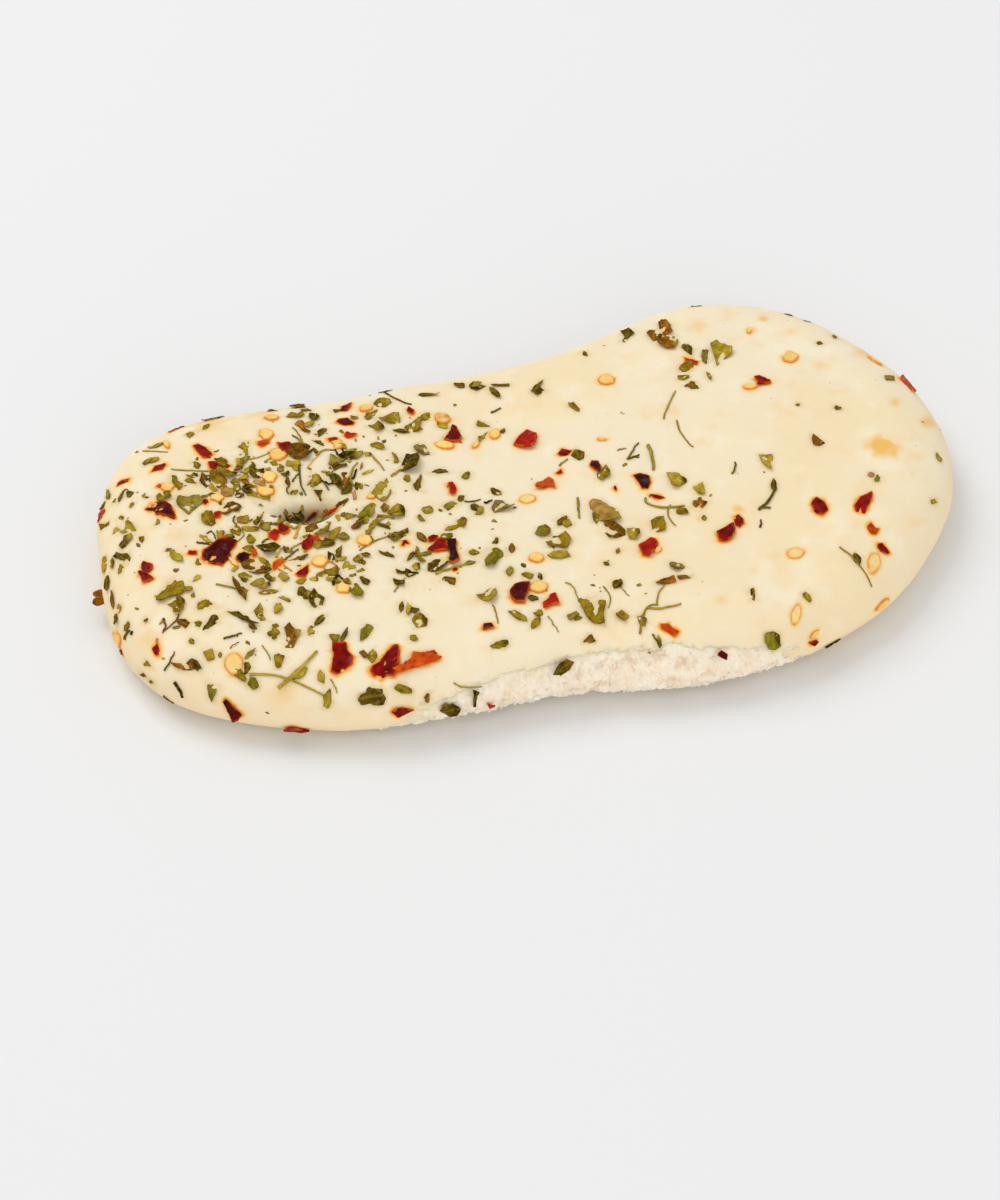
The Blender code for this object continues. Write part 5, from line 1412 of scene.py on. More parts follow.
def make_seed(length, width, draw, outline=lambda angle: 1.0):
    """A flat seed, length by width millimetres, whose rim follows the outline."""
    mesh = bmesh.new()
    bmesh.ops.create_icosphere(mesh, subdivisions=4, radius=1.0)
    edge_layer = mesh.verts.layers.float.new("edge")
    seat = Vector((draw.uniform(0, 99), draw.uniform(0, 99), 0))
    for vert in mesh.verts:
        x, y, z = vert.co
        out = math.hypot(x, y)
        angle = math.atan2(y, x)
        beak = SEED_BEAK * bell(angle / 0.4)
        uneven = 1 + beak + 0.08 * noise.noise(Vector((x, y, 0)) * 1.6 + seat)
        uneven *= 1 + (outline(angle) - 1) * out
        dent = 1 - SEED_DENT * smooth(0.85, 0.3, out)
        body = math.copysign(abs(z) ** 0.7, z) * SEED_THICKNESS / 2 * dent
        body += 0.05 * noise.noise(Vector((x, y, 0)) * 3 + seat)
        vert.co = Vector((x * uneven * length / 2, y * uneven * width / 2, body + SEED_LIFT))
        vert[edge_layer] = smooth(0.66, 1.0, out)
    bmesh.ops.recalc_face_normals(mesh, faces=mesh.faces)
    return mesh


def make_seeds():
    draw = random.Random(SEED_SEED)
    bundle = bmesh.new()
    for x, y, colour, form in SEED_SPOTS:
        if is_drawn(form):
            (x, y), length, width, outline, _ = drawn(x, y, form)
            seed = make_seed(length, width, draw, outline)
        else:
            length, width, turn = form
            seed = make_seed(length, width, draw)
        tint_flake(seed, (SEED_COLOURS[colour], SEED_COLOURS["pale"]), draw, spread=0.05)
        if colour == "ringed":
            bmesh.ops.translate(seed, verts=seed.verts, vec=(0, 0, -SEED_SUNK))
        if is_drawn(form):
            lay_drawn(seed, x, y)
        else:
            spot, normal = surface.seen(x, y)
            lay(seed, spot, normal, turn + draw.choice((0, 180)))
        gather(bundle, seed)
    return bundle


def make_seed_finish():
    seed = Finish("chilli_seed", Subsurface_Weight=0.3, Specular_IOR_Level=0.25)
    seed.shader.inputs["Subsurface Scale"].default_value = 0.8 * MM
    tint = seed.painted("tint", "Color")
    colour = seed.blend(seed.grain(1.0, 3).ramp(0.4, 0.8) * 0.6, tint, SEED_GOLD)
    colour = seed.blend(seed.painted("edge") * seed.grain(1.6, 2).ramp(0.2, 0.5), colour, SEED_RING)
    seed.feed("Base Color", colour)
    seed.feed("Roughness", 0.4 + seed.grain(1.0) * 0.2)
    seed.feed("Normal", seed.bump(seed.grain(0.4, 3), 0.06))
    return seed.material


seed_mesh = make_seeds()
seed_tree = BVHTree.FromBMesh(seed_mesh)
to_object(seed_mesh, "chilli_seeds", make_seed_finish())

# %% [markdown]
# ## Herb leaves
#
# The colour of a dried leaf is never even: one end has faded to straw, another has browned. Each
# leaf blends two colours over its length and by patches a millimetre wide, and both are written on
# its points.

# %% Leaf maker
LEAF_COLOURS = {
    "olive": ((160, 132, 28), (112, 86, 8)), "dark": ((98, 76, 14), (60, 44, 4)),
    "green": ((136, 126, 32), (100, 90, 14)), "sage": ((162, 144, 62), (122, 104, 30)),
    "light": ((190, 164, 54), (152, 126, 24)), "brown": ((132, 84, 18), (86, 52, 8)),
    "tan": ((202, 156, 84), (146, 104, 40)), "rust": ((162, 94, 20), (110, 58, 8)),
    "grey": ((148, 128, 66), (100, 80, 30)), "black": ((54, 40, 8), (30, 20, 2)),
    "pinkish": ((204, 144, 110), (168, 108, 78)), "plum": ((102, 60, 40), (66, 36, 24)),
    "gold": ((186, 140, 38), (148, 102, 18)),
}
LEAF_TIPS = ((124, 80, 18), (68, 50, 6), (166, 142, 52))
LEAF_SWELL = 1.06
LARGE_LEAF = 8  # length times width


def make_leaf(length, width, colour, draw):
    """A leaf with a made-up outline: whole, lobed or broken."""
    big = length * width > LARGE_LEAF
    chance = draw.random()
    if width < length * 0.5 and chance < 0.6:
        outline = lens(draw)
    elif big and chance < 0.4:
        outline = lobes(draw, draw.choice((3, 4, 5)))
    elif chance < 0.25:
        outline = lens(draw)
    else:
        corners = draw.choice((4, 5, 6))
        bites = draw.choice((1, 2, 2, 3) if big else (0, 1, 1))
        outline = shard(draw, corners, ragged=0.16, bites=bites)
    cells = (12, 10) if big else (8, 6)
    leaf = make_flake(length * LEAF_SWELL, width * LEAF_SWELL, outline, draw, cells)
    tint_flake(leaf, LEAF_COLOURS[colour], draw, tips=LEAF_TIPS)
    return leaf


def make_drawn_leaf(length, width, outline, axis, colour, draw):
    """A leaf with a drawn outline, finer and more crinkled the larger it is."""
    size = max(length, width)
    cells = (15, 13) if size > 4 else (10, 9)
    leaf = make_flake(
        length, width, outline, draw, cells,
        thick=0.12, fold=0.55, curl=0.25, crinkle=0.14 + 0.03 * size, tilt=0.08, axis=axis,
    )
    tint_flake(leaf, LEAF_COLOURS[colour], draw, tips=LEAF_TIPS)
    return leaf


# %% [markdown]
# ## Small flakes strewn by rule
#
# Between the big pieces lie many small ones, thickest in a few clouds over the left half. They
# follow a rule: a random spot in a cloud is taken if nothing lies too near it. The draw is seeded,
# so it is the same each time, and the solid's own small flakes were strewn by the same rule.

# %% Strewn spots
STREWN_PATCHES = (  # x, y, spread along and across, and how many flakes
    (-60, 12, 16, 13, 16), (-38, -4, 14, 14, 14), (-62, -26, 16, 14, 12), (-14, -14, 14, 18, 14),
    (-30, 30, 16, 8, 8),
)
PATCH_SPREAD = 0.7
STREWN_LENGTH = (2.2, 3.4)
STREWN_GAP = 3.0
STREWN_SEED = 11
RIM_FLAKES = 16
RIM_FLAKE_ANGLES = (25, 80)
SOLID_ROWS = {"chilli": 36, "leaf": 47, "seed": 12}  # rows of the tables that the solid has too
SOLID_TWIGS = ((35.7, 20.8), (-59.0, -47.0), (49.7, -12.6), (62.8, -36.0), (-55.8, -44.0))


def strewn_places(taken):
    """Spots of the small flakes: clouds with none too near another, then some round the rim."""
    draw = random.Random(STREWN_SEED)
    places = []
    for mid_x, mid_y, spread_x, spread_y, count in STREWN_PATCHES:
        left = count
        while left:
            x = draw.gauss(mid_x, spread_x * PATCH_SPREAD)
            y = draw.gauss(mid_y, spread_y * PATCH_SPREAD)
            length = draw.uniform(*STREWN_LENGTH)
            shape = draw.uniform(0.45, 0.8)
            turn = draw.uniform(0, 180)
            spot, normal = surface.below(x, y)
            if spot is None or spot.z < RIM_HEIGHT + 3:
                continue
            if any((spot - other).length < STREWN_GAP for other in taken):
                continue
            taken.append(spot)
            places.append((spot, normal, length, length * shape, turn))
            left -= 1
    for step in range(RIM_FLAKES):
        round_rim = (step + draw.uniform(0.1, 0.9)) / RIM_FLAKES
        spot, normal = surface.on_rim(round_rim, draw.uniform(*RIM_FLAKE_ANGLES))
        length = draw.uniform(*STREWN_LENGTH)
        turn = draw.uniform(0, 180)
        places.append((spot, normal, length, length * 0.6, turn))
    return places


def solid_spots():
    """Where the large toppings of the solid lie."""
    rows = CHILLI_SPOTS[: SOLID_ROWS["chilli"]] + LEAF_SPOTS[: SOLID_ROWS["leaf"]]
    spots = [surface.seen(row[0], row[1])[0] for row in rows]
    spots += [surface.seen(*spot)[0] for spot in SOLID_TWIGS]
    spots += [surface.seen(row[0], row[1])[0] for row in SEED_SPOTS[: SOLID_ROWS["seed"]]]
    return spots


# %% Leaves on the bread
LEAF_SEED = 21
STREWN_COLOURS = ("olive", "olive", "dark", "green", "sage", "light", "brown")
EDGE_LEAF = (0.517, 5.0, 2.7, 6.0, 4.4)  # turn, height, how far it stands out, length, width
HERB_LIGHT = (255, 236, 120)
HERB_DARK = (132, 120, 84)
HERB_EDGE = (92, 66, 12)
HERB_VEIN = (204, 172, 62)
heap = Heap()


def stand_out(mesh):
    """Sets a leaf level in the left side of the bread, with its end standing out past the rim."""
    turn, height, reach, length, _ = EDGE_LEAF
    edge, inward = rim(turn)
    middle = edge + inward * (length / 2 - reach) + UP * height
    along = inward.cross(UP)
    for vert in mesh.verts:
        vert.co = keep_in_box(middle - inward * vert.co.x + along * vert.co.y + UP * vert.co.z)


def make_leaves():
    draw = random.Random(LEAF_SEED)
    bundle = bmesh.new()
    for x, y, colour, form in LEAF_SPOTS:
        spot, normal = surface.seen(x, y)
        proud = ON_THE_CRUMB.get((x, y), 0.0)
        if is_drawn(form):
            (x, y), length, width, outline, axis = drawn(x, y, form)
            leaf = make_drawn_leaf(length, width, outline, axis, colour, draw)
            lay_drawn(leaf, x, y, proud + heap.lift(spot, min(length, width)))
        else:
            length, width, turn = form
            leaf = make_leaf(length, width, colour, draw)
            lay(leaf, spot, normal, turn, proud + heap.lift(spot, length))
        gather(bundle, leaf)
    for spot, normal, length, width, turn in strewn_places(solid_spots()):
        leaf = make_leaf(length, width, draw.choice(STREWN_COLOURS), draw)
        lay(leaf, spot, normal, turn, heap.lift(spot, length))
        gather(bundle, leaf)
    leaf = make_leaf(*EDGE_LEAF[3:], "rust", draw)
    stand_out(leaf)
    gather(bundle, leaf)
    return bundle


def make_leaf_finish():
    herb = Finish("dried_herb", Specular_IOR_Level=0.0)
    tint = herb.painted("tint", "Color")
    lighter = herb.blend(1.0, tint, HERB_LIGHT, "SCREEN")
    darker = herb.blend(1.0, tint, HERB_DARK, "MULTIPLY")
    colour = herb.blend(herb.grain(0.8, 4).ramp(0.45, 0.85) * 0.16, tint, lighter)
    colour = herb.blend(herb.grain(0.6, 3).ramp(0.45, 0.8) * 0.55, colour, darker)
    colour = herb.blend(herb.painted("edge").ramp(0.55, 1.0) * 0.5, colour, HERB_EDGE)
    colour = herb.blend(herb.painted("rib") * 0.2, colour, HERB_VEIN)
    herb.feed("Base Color", colour)
    herb.feed("Roughness", 0.65 + herb.grain(1.2) * 0.25)
    herb.feed("Normal", herb.bump(herb.grain(0.5, 4), 0.1))
    return herb.material


herb_finish = make_leaf_finish()
leaf_mesh = make_leaves()
leaf_tree = BVHTree.FromBMesh(leaf_mesh)
to_object(leaf_mesh, "herb_leaves", herb_finish)

# %% [markdown]
# ## Twigs
#
# The herb's stalks are thin, straw-coloured and gently bent. Each one is a six-sided cone, cut
# across many times so that it can bend, and its rings are then carried along a curve through three
# spots on the bread.

# %% Twig maker
TWIG_COLOURS = {
    "straw": ((184, 158, 60), (148, 122, 40)), "herb": ((122, 104, 28), (86, 72, 18)),
    "dark": ((60, 48, 14), (40, 32, 10)), "pale": ((204, 180, 84), (158, 132, 46)),
    "brown": ((128, 88, 40), (92, 62, 26)), "amber": ((232, 168, 80), (196, 130, 48)),
}
TWIG_SIDES = 6
TWIG_CUTS = 14
TWIG_TAPER = 0.36  # radius of the thin end, as a share of the thickness
TWIG_BEND = 0.25
TWIG_SEED = 4


def make_twig(first, middle, last, thick, colour, draw):
    """A stalk that runs through three spots of the level sheet, laid in its place."""
    mesh = bmesh.new()
    thin = thick * TWIG_TAPER
    bmesh.ops.create_cone(
        mesh, cap_ends=True, segments=TWIG_SIDES, radius1=thick / 2, radius2=thin, depth=1.0
    )
    long_edges = [edge for edge in mesh.edges if abs(edge.verts[0].co.z - edge.verts[1].co.z) > 0.5]
    bmesh.ops.subdivide_edges(mesh, edges=long_edges, cuts=TWIG_CUTS)
    tint_flake(mesh, TWIG_COLOURS[colour], draw, patch=0.3)
    mesh.verts.layers.float.new("edge")
    mesh.verts.layers.float.new("rib")
    ends = [surface.seen(*spot)[0] for spot in (first, middle, last)]
    bulge = ends[1] * 2 - (ends[0] + ends[2]) / 2
    seat = Vector((draw.uniform(0, 99), 0, 0))
    for vert in mesh.verts:
        share = vert.co.z + 0.5
        point = ends[0] * (1 - share) ** 2 + bulge * 2 * share * (1 - share) + ends[2] * share ** 2
        ahead = (bulge - ends[0]) * (1 - share) + (ends[2] - bulge) * share
        sway = noise.noise(seat + ends[0] + UP * share * 4), noise.noise(seat + UP * share * 4), 0
        point += Vector(sway) * TWIG_BEND
        near, up = surface.nearest(point)
        side = up.cross(ahead).normalized()
        swell = 1 + 0.25 * noise.noise(seat + UP * share * 7)
        lift = 0.3 * thick + 0.35 * math.sin(math.pi * share) * abs(noise.noise(seat * 2 + UP))
        vert.co = keep_in_box(near + up * (lift + vert.co.x * swell) + side * vert.co.y * swell)
    bmesh.ops.recalc_face_normals(mesh, faces=mesh.faces)
    return mesh


def make_twigs():
    draw = random.Random(TWIG_SEED)
    bundle = bmesh.new()
    for first, middle, last, thick, colour in TWIGS:
        gather(bundle, make_twig(first, middle, last, thick, colour, draw))
    return bundle


to_object(make_twigs(), "herb_twigs", herb_finish)

# %% [markdown]
# ## The skin
#
# Round the chilli the oil has soaked in and stained the dough orange. Such a stain is only half a
# millimetre wide, so the ball's triangles are split again where a flake or the torn edge is. The
# distance to the nearest flake is then turned into a stain on each point, where the material reads
# it. The herbs leave a fainter, browner mark, which is also painted as their contact shadow, and the
# hot tray has left a few toasted spots. These were read off the photograph, so they too are looked
# up on the level sheet. Painted shade in the pit and among the thickest herbs is written on the
# points as well.

# %% Skin mesh
REFINE_NEAR = ((0.9, 0.5, 6.0), (0.45, 0.2, 9.0))  # how near chilli and seeds, how high in the tear
FRONT = -46  # the torn stretch lies in front of this y
STAIN_WIDTH = 0.46
STAIN_HALO = 1.7
HALO_SHARE = 0.2
SEED_STAIN = 0.55
# width of the brown stain round the herbs, which is also their painted contact shadow
TEA_AND_SHADOW_WIDTH = 0.7
# Painted shade in the pit: the skin darkens between these two depths of the pit.
PIT_SHADE_DEPTHS = (1.9, 4.3)  # depths in the pit where its darkening starts and ends
SKIN_DUCKS = 1.2
FAR = 9.0
# clouds of herb dust, which also carry painted shade among the thickest herbs
DUST_AND_SHADE_PATCHES = ((-60, 12, 16, 13), (-40, 2, 13, 14), (-60, -12, 12, 10), (-24, -16, 10, 8))
SPOT_REACH = 1.3
TOASTED_SPOTS = (  # x, y, size and strength
    (77.5, -0.5, 3.2, 1.0), (84, -5.5, 2.4, 0.32), (89.5, 4.5, 2.4, 0.6), (84.5, 12.5, 1.8, 0.55),
    (89.5, 25, 2.0, 0.4), (82, 30, 2.8, 0.5), (59.5, 42, 1.5, 0.6), (68, 40, 2.0, 0.4),
    (63, 45.5, 1.6, 0.65), (71.5, 27.5, 2.4, 0.4), (54.5, 23, 1.7, 0.6), (34, -15.5, 2.2, 0.3),
    (78, -25.5, 2.5, 0.3),
    (42.5, -14.5, 1.6, 0.7), (32.5, -40.5, 1.8, 0.4), (-64, 37, 6.0, 0.6), (-52, 37.5, 4.0, 0.7),
    (-83, 3, 3.0, 0.3), (-75, 0, 4.0, 0.35), (-72, 12, 3.0, 0.3), (60, 14, 3.0, 0.3),
    (47, -30, 3.0, 0.25), (-60, -50, 5.0, 0.4), (-84, -30, 4.0, 0.4), (30, 20, 4.0, 0.25),
    (79, -4, 3.0, 0.25),
    (48, 45.8, 3.0, 0.45), (55.8, 48.5, 2.6, 0.3), (46.3, 16.3, 2.2, 0.25), (36.3, 19, 2.4, 0.35),
)


def gap_to(tree, point):
    """Distance to the nearest flake, or FAR."""
    near, _, _, gap = tree.find_nearest(point, FAR)
    return FAR if near is None else gap


def in_tear(place, lowest):
    along = TEAR_REACH[1][0] < place.x < TEAR_REACH[-2][0]
    return along and place.y < FRONT and place.z > lowest


def refine(ball, near):
    """Splits the triangles of the ball that will lie near a flake or on the border of the tear."""
    chosen = []
    for edge in ball.edges:
        place = ball_to_bread((edge.verts[0].co + edge.verts[1].co).normalized())
        chilli, seed = (gap_to(tree, place) for tree in (chilli_tree, seed_tree))
        if chilli < near[0] or seed < near[1] or in_tear(place, near[2]):
            chosen.append(edge)
    bmesh.ops.subdivide_edges(ball, edges=chosen, cuts=1, use_grid_fill=True)
    bmesh.ops.triangulate(ball, faces=ball.faces)


def oil_stain(point, uneven):
    """A narrow ring of oil round the nearest chilli flake or seed, and a wide, faint halo."""
    stain = 0.0
    for tree, strength in ((chilli_tree, 1.0), (seed_tree, SEED_STAIN)):
        gap = gap_to(tree, point)
        ring = bell(gap / (STAIN_WIDTH * uneven))
        halo = bell(gap / (STAIN_HALO * uneven))
        stain = max(stain, strength * ((1 - HALO_SHARE) * ring + HALO_SHARE * halo))
    return stain


def toasting(point):
    """How toasted a point is. The spots are given on the level sheet, as seen from EYE."""
    seen = EYE + (point - EYE) * ((EYE.z - SHEET_HEIGHT) / (EYE.z - point.z))
    bend = 1 + 0.5 * noise.noise(point / 2.0)
    total = 0.0
    for x, y, size, strength in TOASTED_SPOTS:
        gap = math.hypot(seen.x - x, seen.y - y)
        total += strength * bell(gap / (SPOT_REACH * size * bend)) ** 2
    return min(1.0, total)


def paint_skin(mesh):
    """Writes oil stain, toast, herb stain with painted shadow, dust with painted shade, painted pit
    shade.
    """
    names = ("stain", "tea_and_shadow", "toast", "dust_and_shade", "deep")
    stain, tea_and_shadow, toast, dust_and_shade, deep = (mesh.verts.layers.float.new(name) for name in names)
    for vert in mesh.verts:
        x, y, z = vert.co
        uneven = 1 + 0.9 * noise.noise(vert.co / 1.3)
        vert[stain] = oil_stain(vert.co, uneven)
        # brown stain round the herbs and painted contact shadow under them
        vert[tea_and_shadow] = bell(gap_to(leaf_tree, vert.co) / (TEA_AND_SHADOW_WIDTH * uneven))
        vert[toast] = toasting(vert.co)
        # herb dust with painted shade, in the clouds where the herbs are thickest
        clouds = [math.hypot((x - a) / wide, (y - b) / high) for a, b, wide, high in DUST_AND_SHADE_PATCHES]
        on_top = smooth(RIM_HEIGHT, TOP_HEIGHT - 3, z)
        vert[dust_and_shade] = min(1.0, sum(map(bell, clouds))) * on_top
        # painted shade in the pit, darkest where the pit is deepest
        vert[deep] = smooth(*PIT_SHADE_DEPTHS, pit(x, y)) * on_top


for near in REFINE_NEAR:
    refine(ball, near)
skin_mesh = mapped(ball, SKIN_DUCKS)
ball.free()
paint_skin(skin_mesh)

# %% [markdown]
# ## The look of the skin
# Barely baked dough is cream, a little yellower where the ghee has soaked in, and yellower and
# darker lower down its side, with a faint mottling and a few brown specks. Light goes a few
# millimetres into it, so it has soft shadows: that is the subsurface part of the shader. Its gloss
# is low and even. Shade in the pit, among the thickest herbs and round the herbs is painted into
# its colour.
# has soft shadows: that is the subsurface part of the shader. Its gloss is low and even.

# %% Skin finish
SKIN_CREAM = (243, 228, 196)
SKIN_YELLOW = (243, 223, 182)
SKIN_PALE = (247, 235, 210)
SKIN_TOASTED = (241, 212, 162)
# colour lower down the side and underneath: yellower and darker
SKIN_RIM = (241, 215, 172)
# greyish colour of the herb dust, which is also painted shade among the herbs
SKIN_DUST_AND_SHADE = (222, 210, 170)
# brown of the herbs' stain, which is also their painted contact shadow
SKIN_TEA_AND_SHADOW = (216, 182, 100)
# the colour of the painted shade in the pit
SKIN_PIT_SHADE = (112, 94, 54)
SPOT_BROWN = (240, 184, 76)
OIL_FAINT = (248, 210, 134)
OIL_ORANGE = (247, 166, 54)
SPECK_BROWN = (186, 136, 84)


def make_skin_finish():
    skin = Finish("bread_skin", Subsurface_Weight=0.35, Specular_IOR_Level=0.3)
    skin.shader.inputs["Subsurface Scale"].default_value = 2.5 * MM
    skin.shader.inputs["Subsurface Radius"].default_value = (1.0, 0.55, 0.25)
    colour = skin.blend(skin.grain(38, 3).ramp(0.42, 0.7), SKIN_CREAM, SKIN_YELLOW)
    colour = skin.blend(skin.grain(9, 4).ramp(0.48, 0.76) * 0.7, colour, SKIN_PALE)
    colour = skin.blend(skin.grain(6, 3).ramp(0.54, 0.78) * 0.55, colour, SKIN_TOASTED)
    height = skin.node("ShaderNodeSeparateXYZ", {}, {0: skin.place}, 2)
    # yellower and darker towards the bottom of the side and underneath
    colour = skin.blend(height.ramp(14 * MM, 6 * MM) * 0.6, colour, SKIN_RIM)
    # herb dust with painted greyish shade among the herbs
    dust_and_shade = skin.painted("dust_and_shade") * skin.grain(1.6, 4).ramp(0.35, 0.75)
    colour = skin.blend(dust_and_shade * 0.45, colour, SKIN_DUST_AND_SHADE)
    colour = skin.blend(skin.painted("toast").ramp(0.02, 0.8) * 0.9, colour, SPOT_BROWN)
    dots = skin.cells(4.2).ramp(0.07, 0.035) * skin.grain(7, 1).ramp(0.55, 0.6)
    colour = skin.blend(dots * 0.6, colour, SPECK_BROWN)
    # brown stain round the herbs, also their painted contact shadow
    tea_and_shadow = skin.painted("tea_and_shadow") * skin.grain(1.2, 3).ramp(0.2, 0.6)
    colour = skin.blend(tea_and_shadow * 0.55, colour, SKIN_TEA_AND_SHADOW)
    stain = skin.painted("stain")
    colour = skin.blend(stain.ramp(0.02, 0.35) * 0.6, colour, OIL_FAINT)
    colour = skin.blend(stain.ramp(0.22, 0.85) * 0.92, colour, OIL_ORANGE)
    # painted shade in the pit
    colour = skin.blend(skin.painted("deep") * 0.9, colour, SKIN_PIT_SHADE)
    skin.feed("Base Color", colour)
    skin.feed("Roughness", 0.62 - stain * 0.25 + skin.grain(3) * 0.08)
    fine = skin.bump(skin.grain(0.8, 5), 0.05)
    skin.feed("Normal", skin.bump(skin.grain(2.6, 3), 0.12, fine))
    return skin.material


skin_piece = to_object(skin_mesh, "bread_skin", make_skin_finish())
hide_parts(NODE)

# %% [markdown]
# ## The torn crumb
#
# Torn bread is foam pulled apart: soft clumps a millimetre across, short fibres and small pits. A
# picture on a flat face would not hold up from the side, so the crumb is a fine grid laid over the
# torn side and pushed out clump by clump. At its borders it dives under the skin, so that the
# meeting line comes out ragged by itself. The grid is closed behind, inside the bread. The pits
# between the clumps are given painted shade in their colour.

# %% Crumb grid
CRUMB_STEP = 0.2
CRUMB_ANGLES = (30, 168)
CRUMB_SPAN = (-49.0, 53.0)
CRUMB_WIDTH = 22  # along the section of the bread, from the upper border to the fringe
CRUMB_BACK = 2.0  # how far the grid's closed back lies behind it
CRUMB_RELIEF = 0.85
CRUMB_LUMPS = ((7.0, 0.6), (2.6, 0.7))
CLUMPS = ((1.6, 0.65), (0.75, 0.3))
FIBRES = (0.45, 0.24)
CRUMB_HIDES = 0.55
CRUMB_DEPTH = (0.8, 0.3)  # how far the crumb lies back, at its upper border and at its fringe
CRUMB_CREAM = (248, 235, 213)
CRUMB_TAN = (242, 223, 197)
# colour of the painted shade in the pits between the clumps
CRUMB_SHADE = (224, 192, 152)
CRUMB_WHITE = (253, 246, 232)
CRUMB_BROWN = (228, 198, 160)


def front_turn(x):
    """The turn at which the front rim passes x."""
    fronts = [(abs(point.x - x), step) for step, point in enumerate(RIM_POINTS) if point.y < 0]
    return min(fronts)[1] / RIM_STEPS


def crumb_height(point):
    """Relief of the crumb, in millimetres: lumps, clumps with pits between them, and fibres."""
    height = sum(high * noise.noise(point / size) for size, high in CRUMB_LUMPS)
    for size, high in CLUMPS:
        near, _ = noise.voronoi(Vector((point.x, point.y, point.z * 0.7)) / size)
        height += high * (0.5 - near[0])
    width, high = FIBRES
    fibre = Vector((point.x / width, point.y / width, point.z / (width * 6)))
    return height + high * noise.noise(fibre)


def crumb_out(point, angle):
    """How far the crumb stands out past the bread's section at a point of the torn side."""
    upper, fringe = CRUMB_DEPTH
    return crumb_height(point) * CRUMB_RELIEF - (upper + (fringe - upper) * smooth(45, 80, angle))


def make_crumb():
    mesh = bmesh.new()
    crumb_shade, rind = (mesh.verts.layers.float.new(name) for name in ("crumb_shade", "rind"))
    left, right = (front_turn(x) for x in CRUMB_SPAN)
    columns = round((CRUMB_SPAN[1] - CRUMB_SPAN[0]) / CRUMB_STEP)
    rows = round(CRUMB_WIDTH / CRUMB_STEP)
    bmesh.ops.create_grid(mesh, x_segments=columns, y_segments=rows, size=0.5)
    for vert in mesh.verts:
        turn = left + (vert.co.x + 0.5) * (right - left)
        angle = CRUMB_ANGLES[0] + (0.5 - vert.co.y) * (CRUMB_ANGLES[1] - CRUMB_ANGLES[0])
        point, out, over = side_point(turn, angle)
        torn = tear_weight(point, over) * smooth(CRUMB_ANGLES[1], CRUMB_ANGLES[1] - 12, angle)
        # painted shade: the lower the relief, the darker the crumb
        vert[crumb_shade], vert[rind] = 0.45 - 0.6 * crumb_height(point), 1 - torn
        vert.co = point + out * (torn * crumb_out(point, angle) - (1 - torn) * CRUMB_HIDES)
    border = [edge for edge in mesh.edges if edge.is_boundary]
    back = bmesh.ops.extrude_edge_only(mesh, edges=border)["geom"]
    moved = [item for item in back if isinstance(item, bmesh.types.BMVert)]
    bmesh.ops.translate(mesh, verts=moved, vec=(0, CRUMB_BACK, 0))
    rim_edges = [item for item in back if isinstance(item, bmesh.types.BMEdge)]
    bmesh.ops.contextual_create(mesh, geom=rim_edges)
    bmesh.ops.recalc_face_normals(mesh, faces=mesh.faces)
    return mesh


def make_crumb_finish():
    crumb = Finish("torn_crumb", Subsurface_Weight=0.5, Roughness=0.95, Specular_IOR_Level=0.15)
    crumb.shader.inputs["Subsurface Scale"].default_value = 1.4 * MM
    crumb.shader.inputs["Subsurface Radius"].default_value = (1.0, 0.75, 0.6)
    colour = crumb.blend(crumb.grain(5, 3).ramp(0.35, 0.7), CRUMB_CREAM, CRUMB_TAN)
    # painted shade in the pits between the clumps
    colour = crumb.blend(crumb.painted("crumb_shade").ramp(0.4, 0.95) * 0.6, colour, CRUMB_SHADE)
    colour = crumb.blend(crumb.grain(0.9, 3).ramp(0.52, 0.72) * 0.7, colour, CRUMB_WHITE)
    colour = crumb.blend(crumb.grain(0.7, 2).ramp(0.42, 0.28) * 0.45, colour, CRUMB_BROWN)
    colour = crumb.blend(crumb.painted("rind").ramp(0.1, 0.6) * 0.85, colour, SKIN_CREAM)
    crumb.feed("Base Color", colour)
    crumb.feed("Normal", crumb.bump(crumb.grain(0.35, 3), 0.12))
    return crumb.material


crumb_finish = make_crumb_finish()
to_object(make_crumb(), "torn_crumb", crumb_finish)

# %% [markdown]
# ## Fine bits
#
# Crushing herbs makes dust as well: bits of a millimetre and less, thickest where the herbs are.
# They are made as the leaves are, from far smaller grids, because nobody can see more of them than
# their outline and colour.

# %% Fine bits on the bread
BIT_PATCHES = (  # x, y, spread along and across, and how many bits
    (-60, 12, 15, 11, 40), (-40, 12, 14, 14, 30), (-52, -8, 15, 9, 40), (-66, -24, 16, 14, 20),
    (-20, -12, 18, 18, 26), (-25, 26, 22, 8, 12), (8, -34, 16, 10, 12), (30, 5, 30, 22, 10),
    (40, 38, 10, 8, 5), (-84, 0, 6, 22, 14),
)
BIT_SIZE = (0.5, 1.9)
BIT_LEAN = 1.6  # above 1, most of the bits are small
BIT_SEED = 33
BIT_COLOURS = ("olive", "olive", "dark", "green", "sage", "light", "light", "brown", "rust")


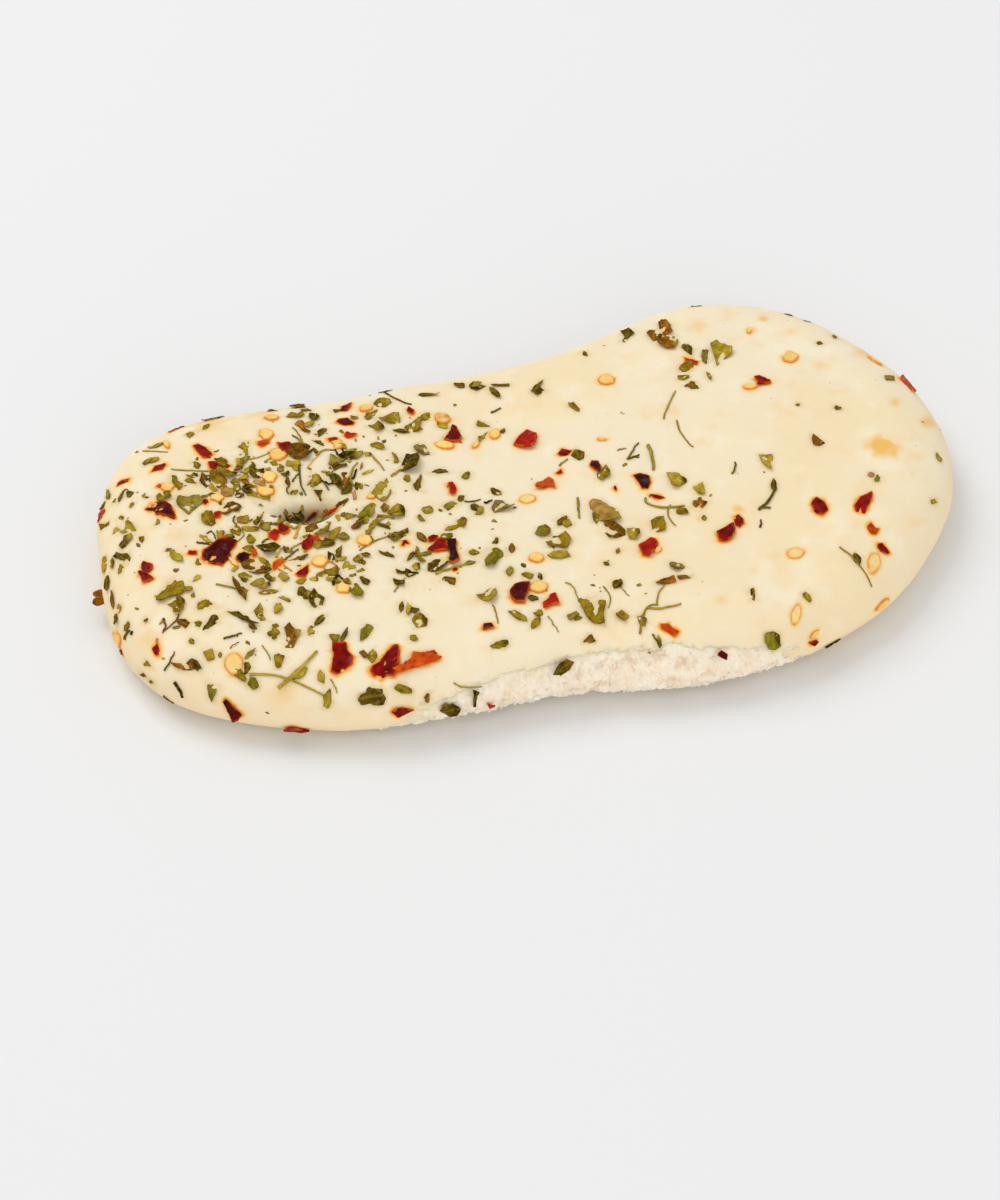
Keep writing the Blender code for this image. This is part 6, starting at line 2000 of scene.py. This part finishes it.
def make_bits():
    draw = random.Random(BIT_SEED)
    bundle = bmesh.new()
    for mid_x, mid_y, spread_x, spread_y, count in BIT_PATCHES:
        for _ in range(count):
            x = draw.gauss(mid_x, spread_x * PATCH_SPREAD)
            y = draw.gauss(mid_y, spread_y * PATCH_SPREAD)
            spot, normal = surface.below(x, y)
            size = BIT_SIZE[0] + (BIT_SIZE[1] - BIT_SIZE[0]) * draw.random() ** BIT_LEAN
            outline = shard(draw, draw.choice((3, 4, 5)), bites=0)
            width = size * draw.uniform(0.35, 0.9)
            bit = make_flake(size, width, outline, draw, (4, 4), 0.12, crinkle=0.1)
            tint_flake(bit, LEAF_COLOURS[draw.choice(BIT_COLOURS)], draw, spread=0.2)
            turn = draw.uniform(0, 180)
            if spot is None:
                bit.free()
                continue
            lay(bit, spot, normal, turn)
            gather(bundle, bit)
    return bundle


to_object(make_bits(), "herb_bits", herb_finish)

# %% [markdown]
# ## Loose crumbs
#
# Bread that is torn sheds crumbs, and tufts of it hang along the fringe. Each one is a small ball,
# drawn out and pushed about by noise, half sunk in the torn side.

# %% Loose crumbs on the torn side
CRUMB_COUNT = 240
CRUMB_SIZE = (0.3, 0.9)
CRUMB_PLACES = ((35, 70), (90, 150), (100, 150))  # turns down from the top, one drawn from each
CRUMB_SEED = 5


def make_loose_crumbs():
    draw = random.Random(CRUMB_SEED)
    bundle = bmesh.new()
    left, right = (front_turn(x) for x in CRUMB_SPAN)
    placed = 0
    while placed < CRUMB_COUNT:
        turn = left + draw.random() * (right - left)
        angle = draw.choice([draw.uniform(*span) for span in CRUMB_PLACES])
        size = draw.uniform(*CRUMB_SIZE)
        point, out, over = side_point(turn, angle)
        if tear_weight(point, over) < 0.6:
            continue
        placed += 1
        crumb = bmesh.new()
        crumb.verts.layers.float.new("crumb_shade")
        crumb.verts.layers.float.new("rind")
        bmesh.ops.create_icosphere(crumb, subdivisions=2, radius=0.5)
        seat = Vector((draw.uniform(0, 99), draw.uniform(0, 99), 0))
        for vert in crumb.verts:
            vert.co *= 1 + 0.7 * noise.noise(vert.co * 3 + seat)
        narrow, tall = size * 0.7, size * draw.uniform(0.8, 1.5)
        bmesh.ops.scale(crumb, verts=crumb.verts, vec=(narrow, narrow, tall))
        bmesh.ops.translate(crumb, verts=crumb.verts, vec=point + out * crumb_out(point, angle))
        for vert in crumb.verts:
            keep_in_box(vert.co)
        gather(bundle, crumb)
    return bundle


to_object(make_loose_crumbs(), "loose_crumbs", crumb_finish)
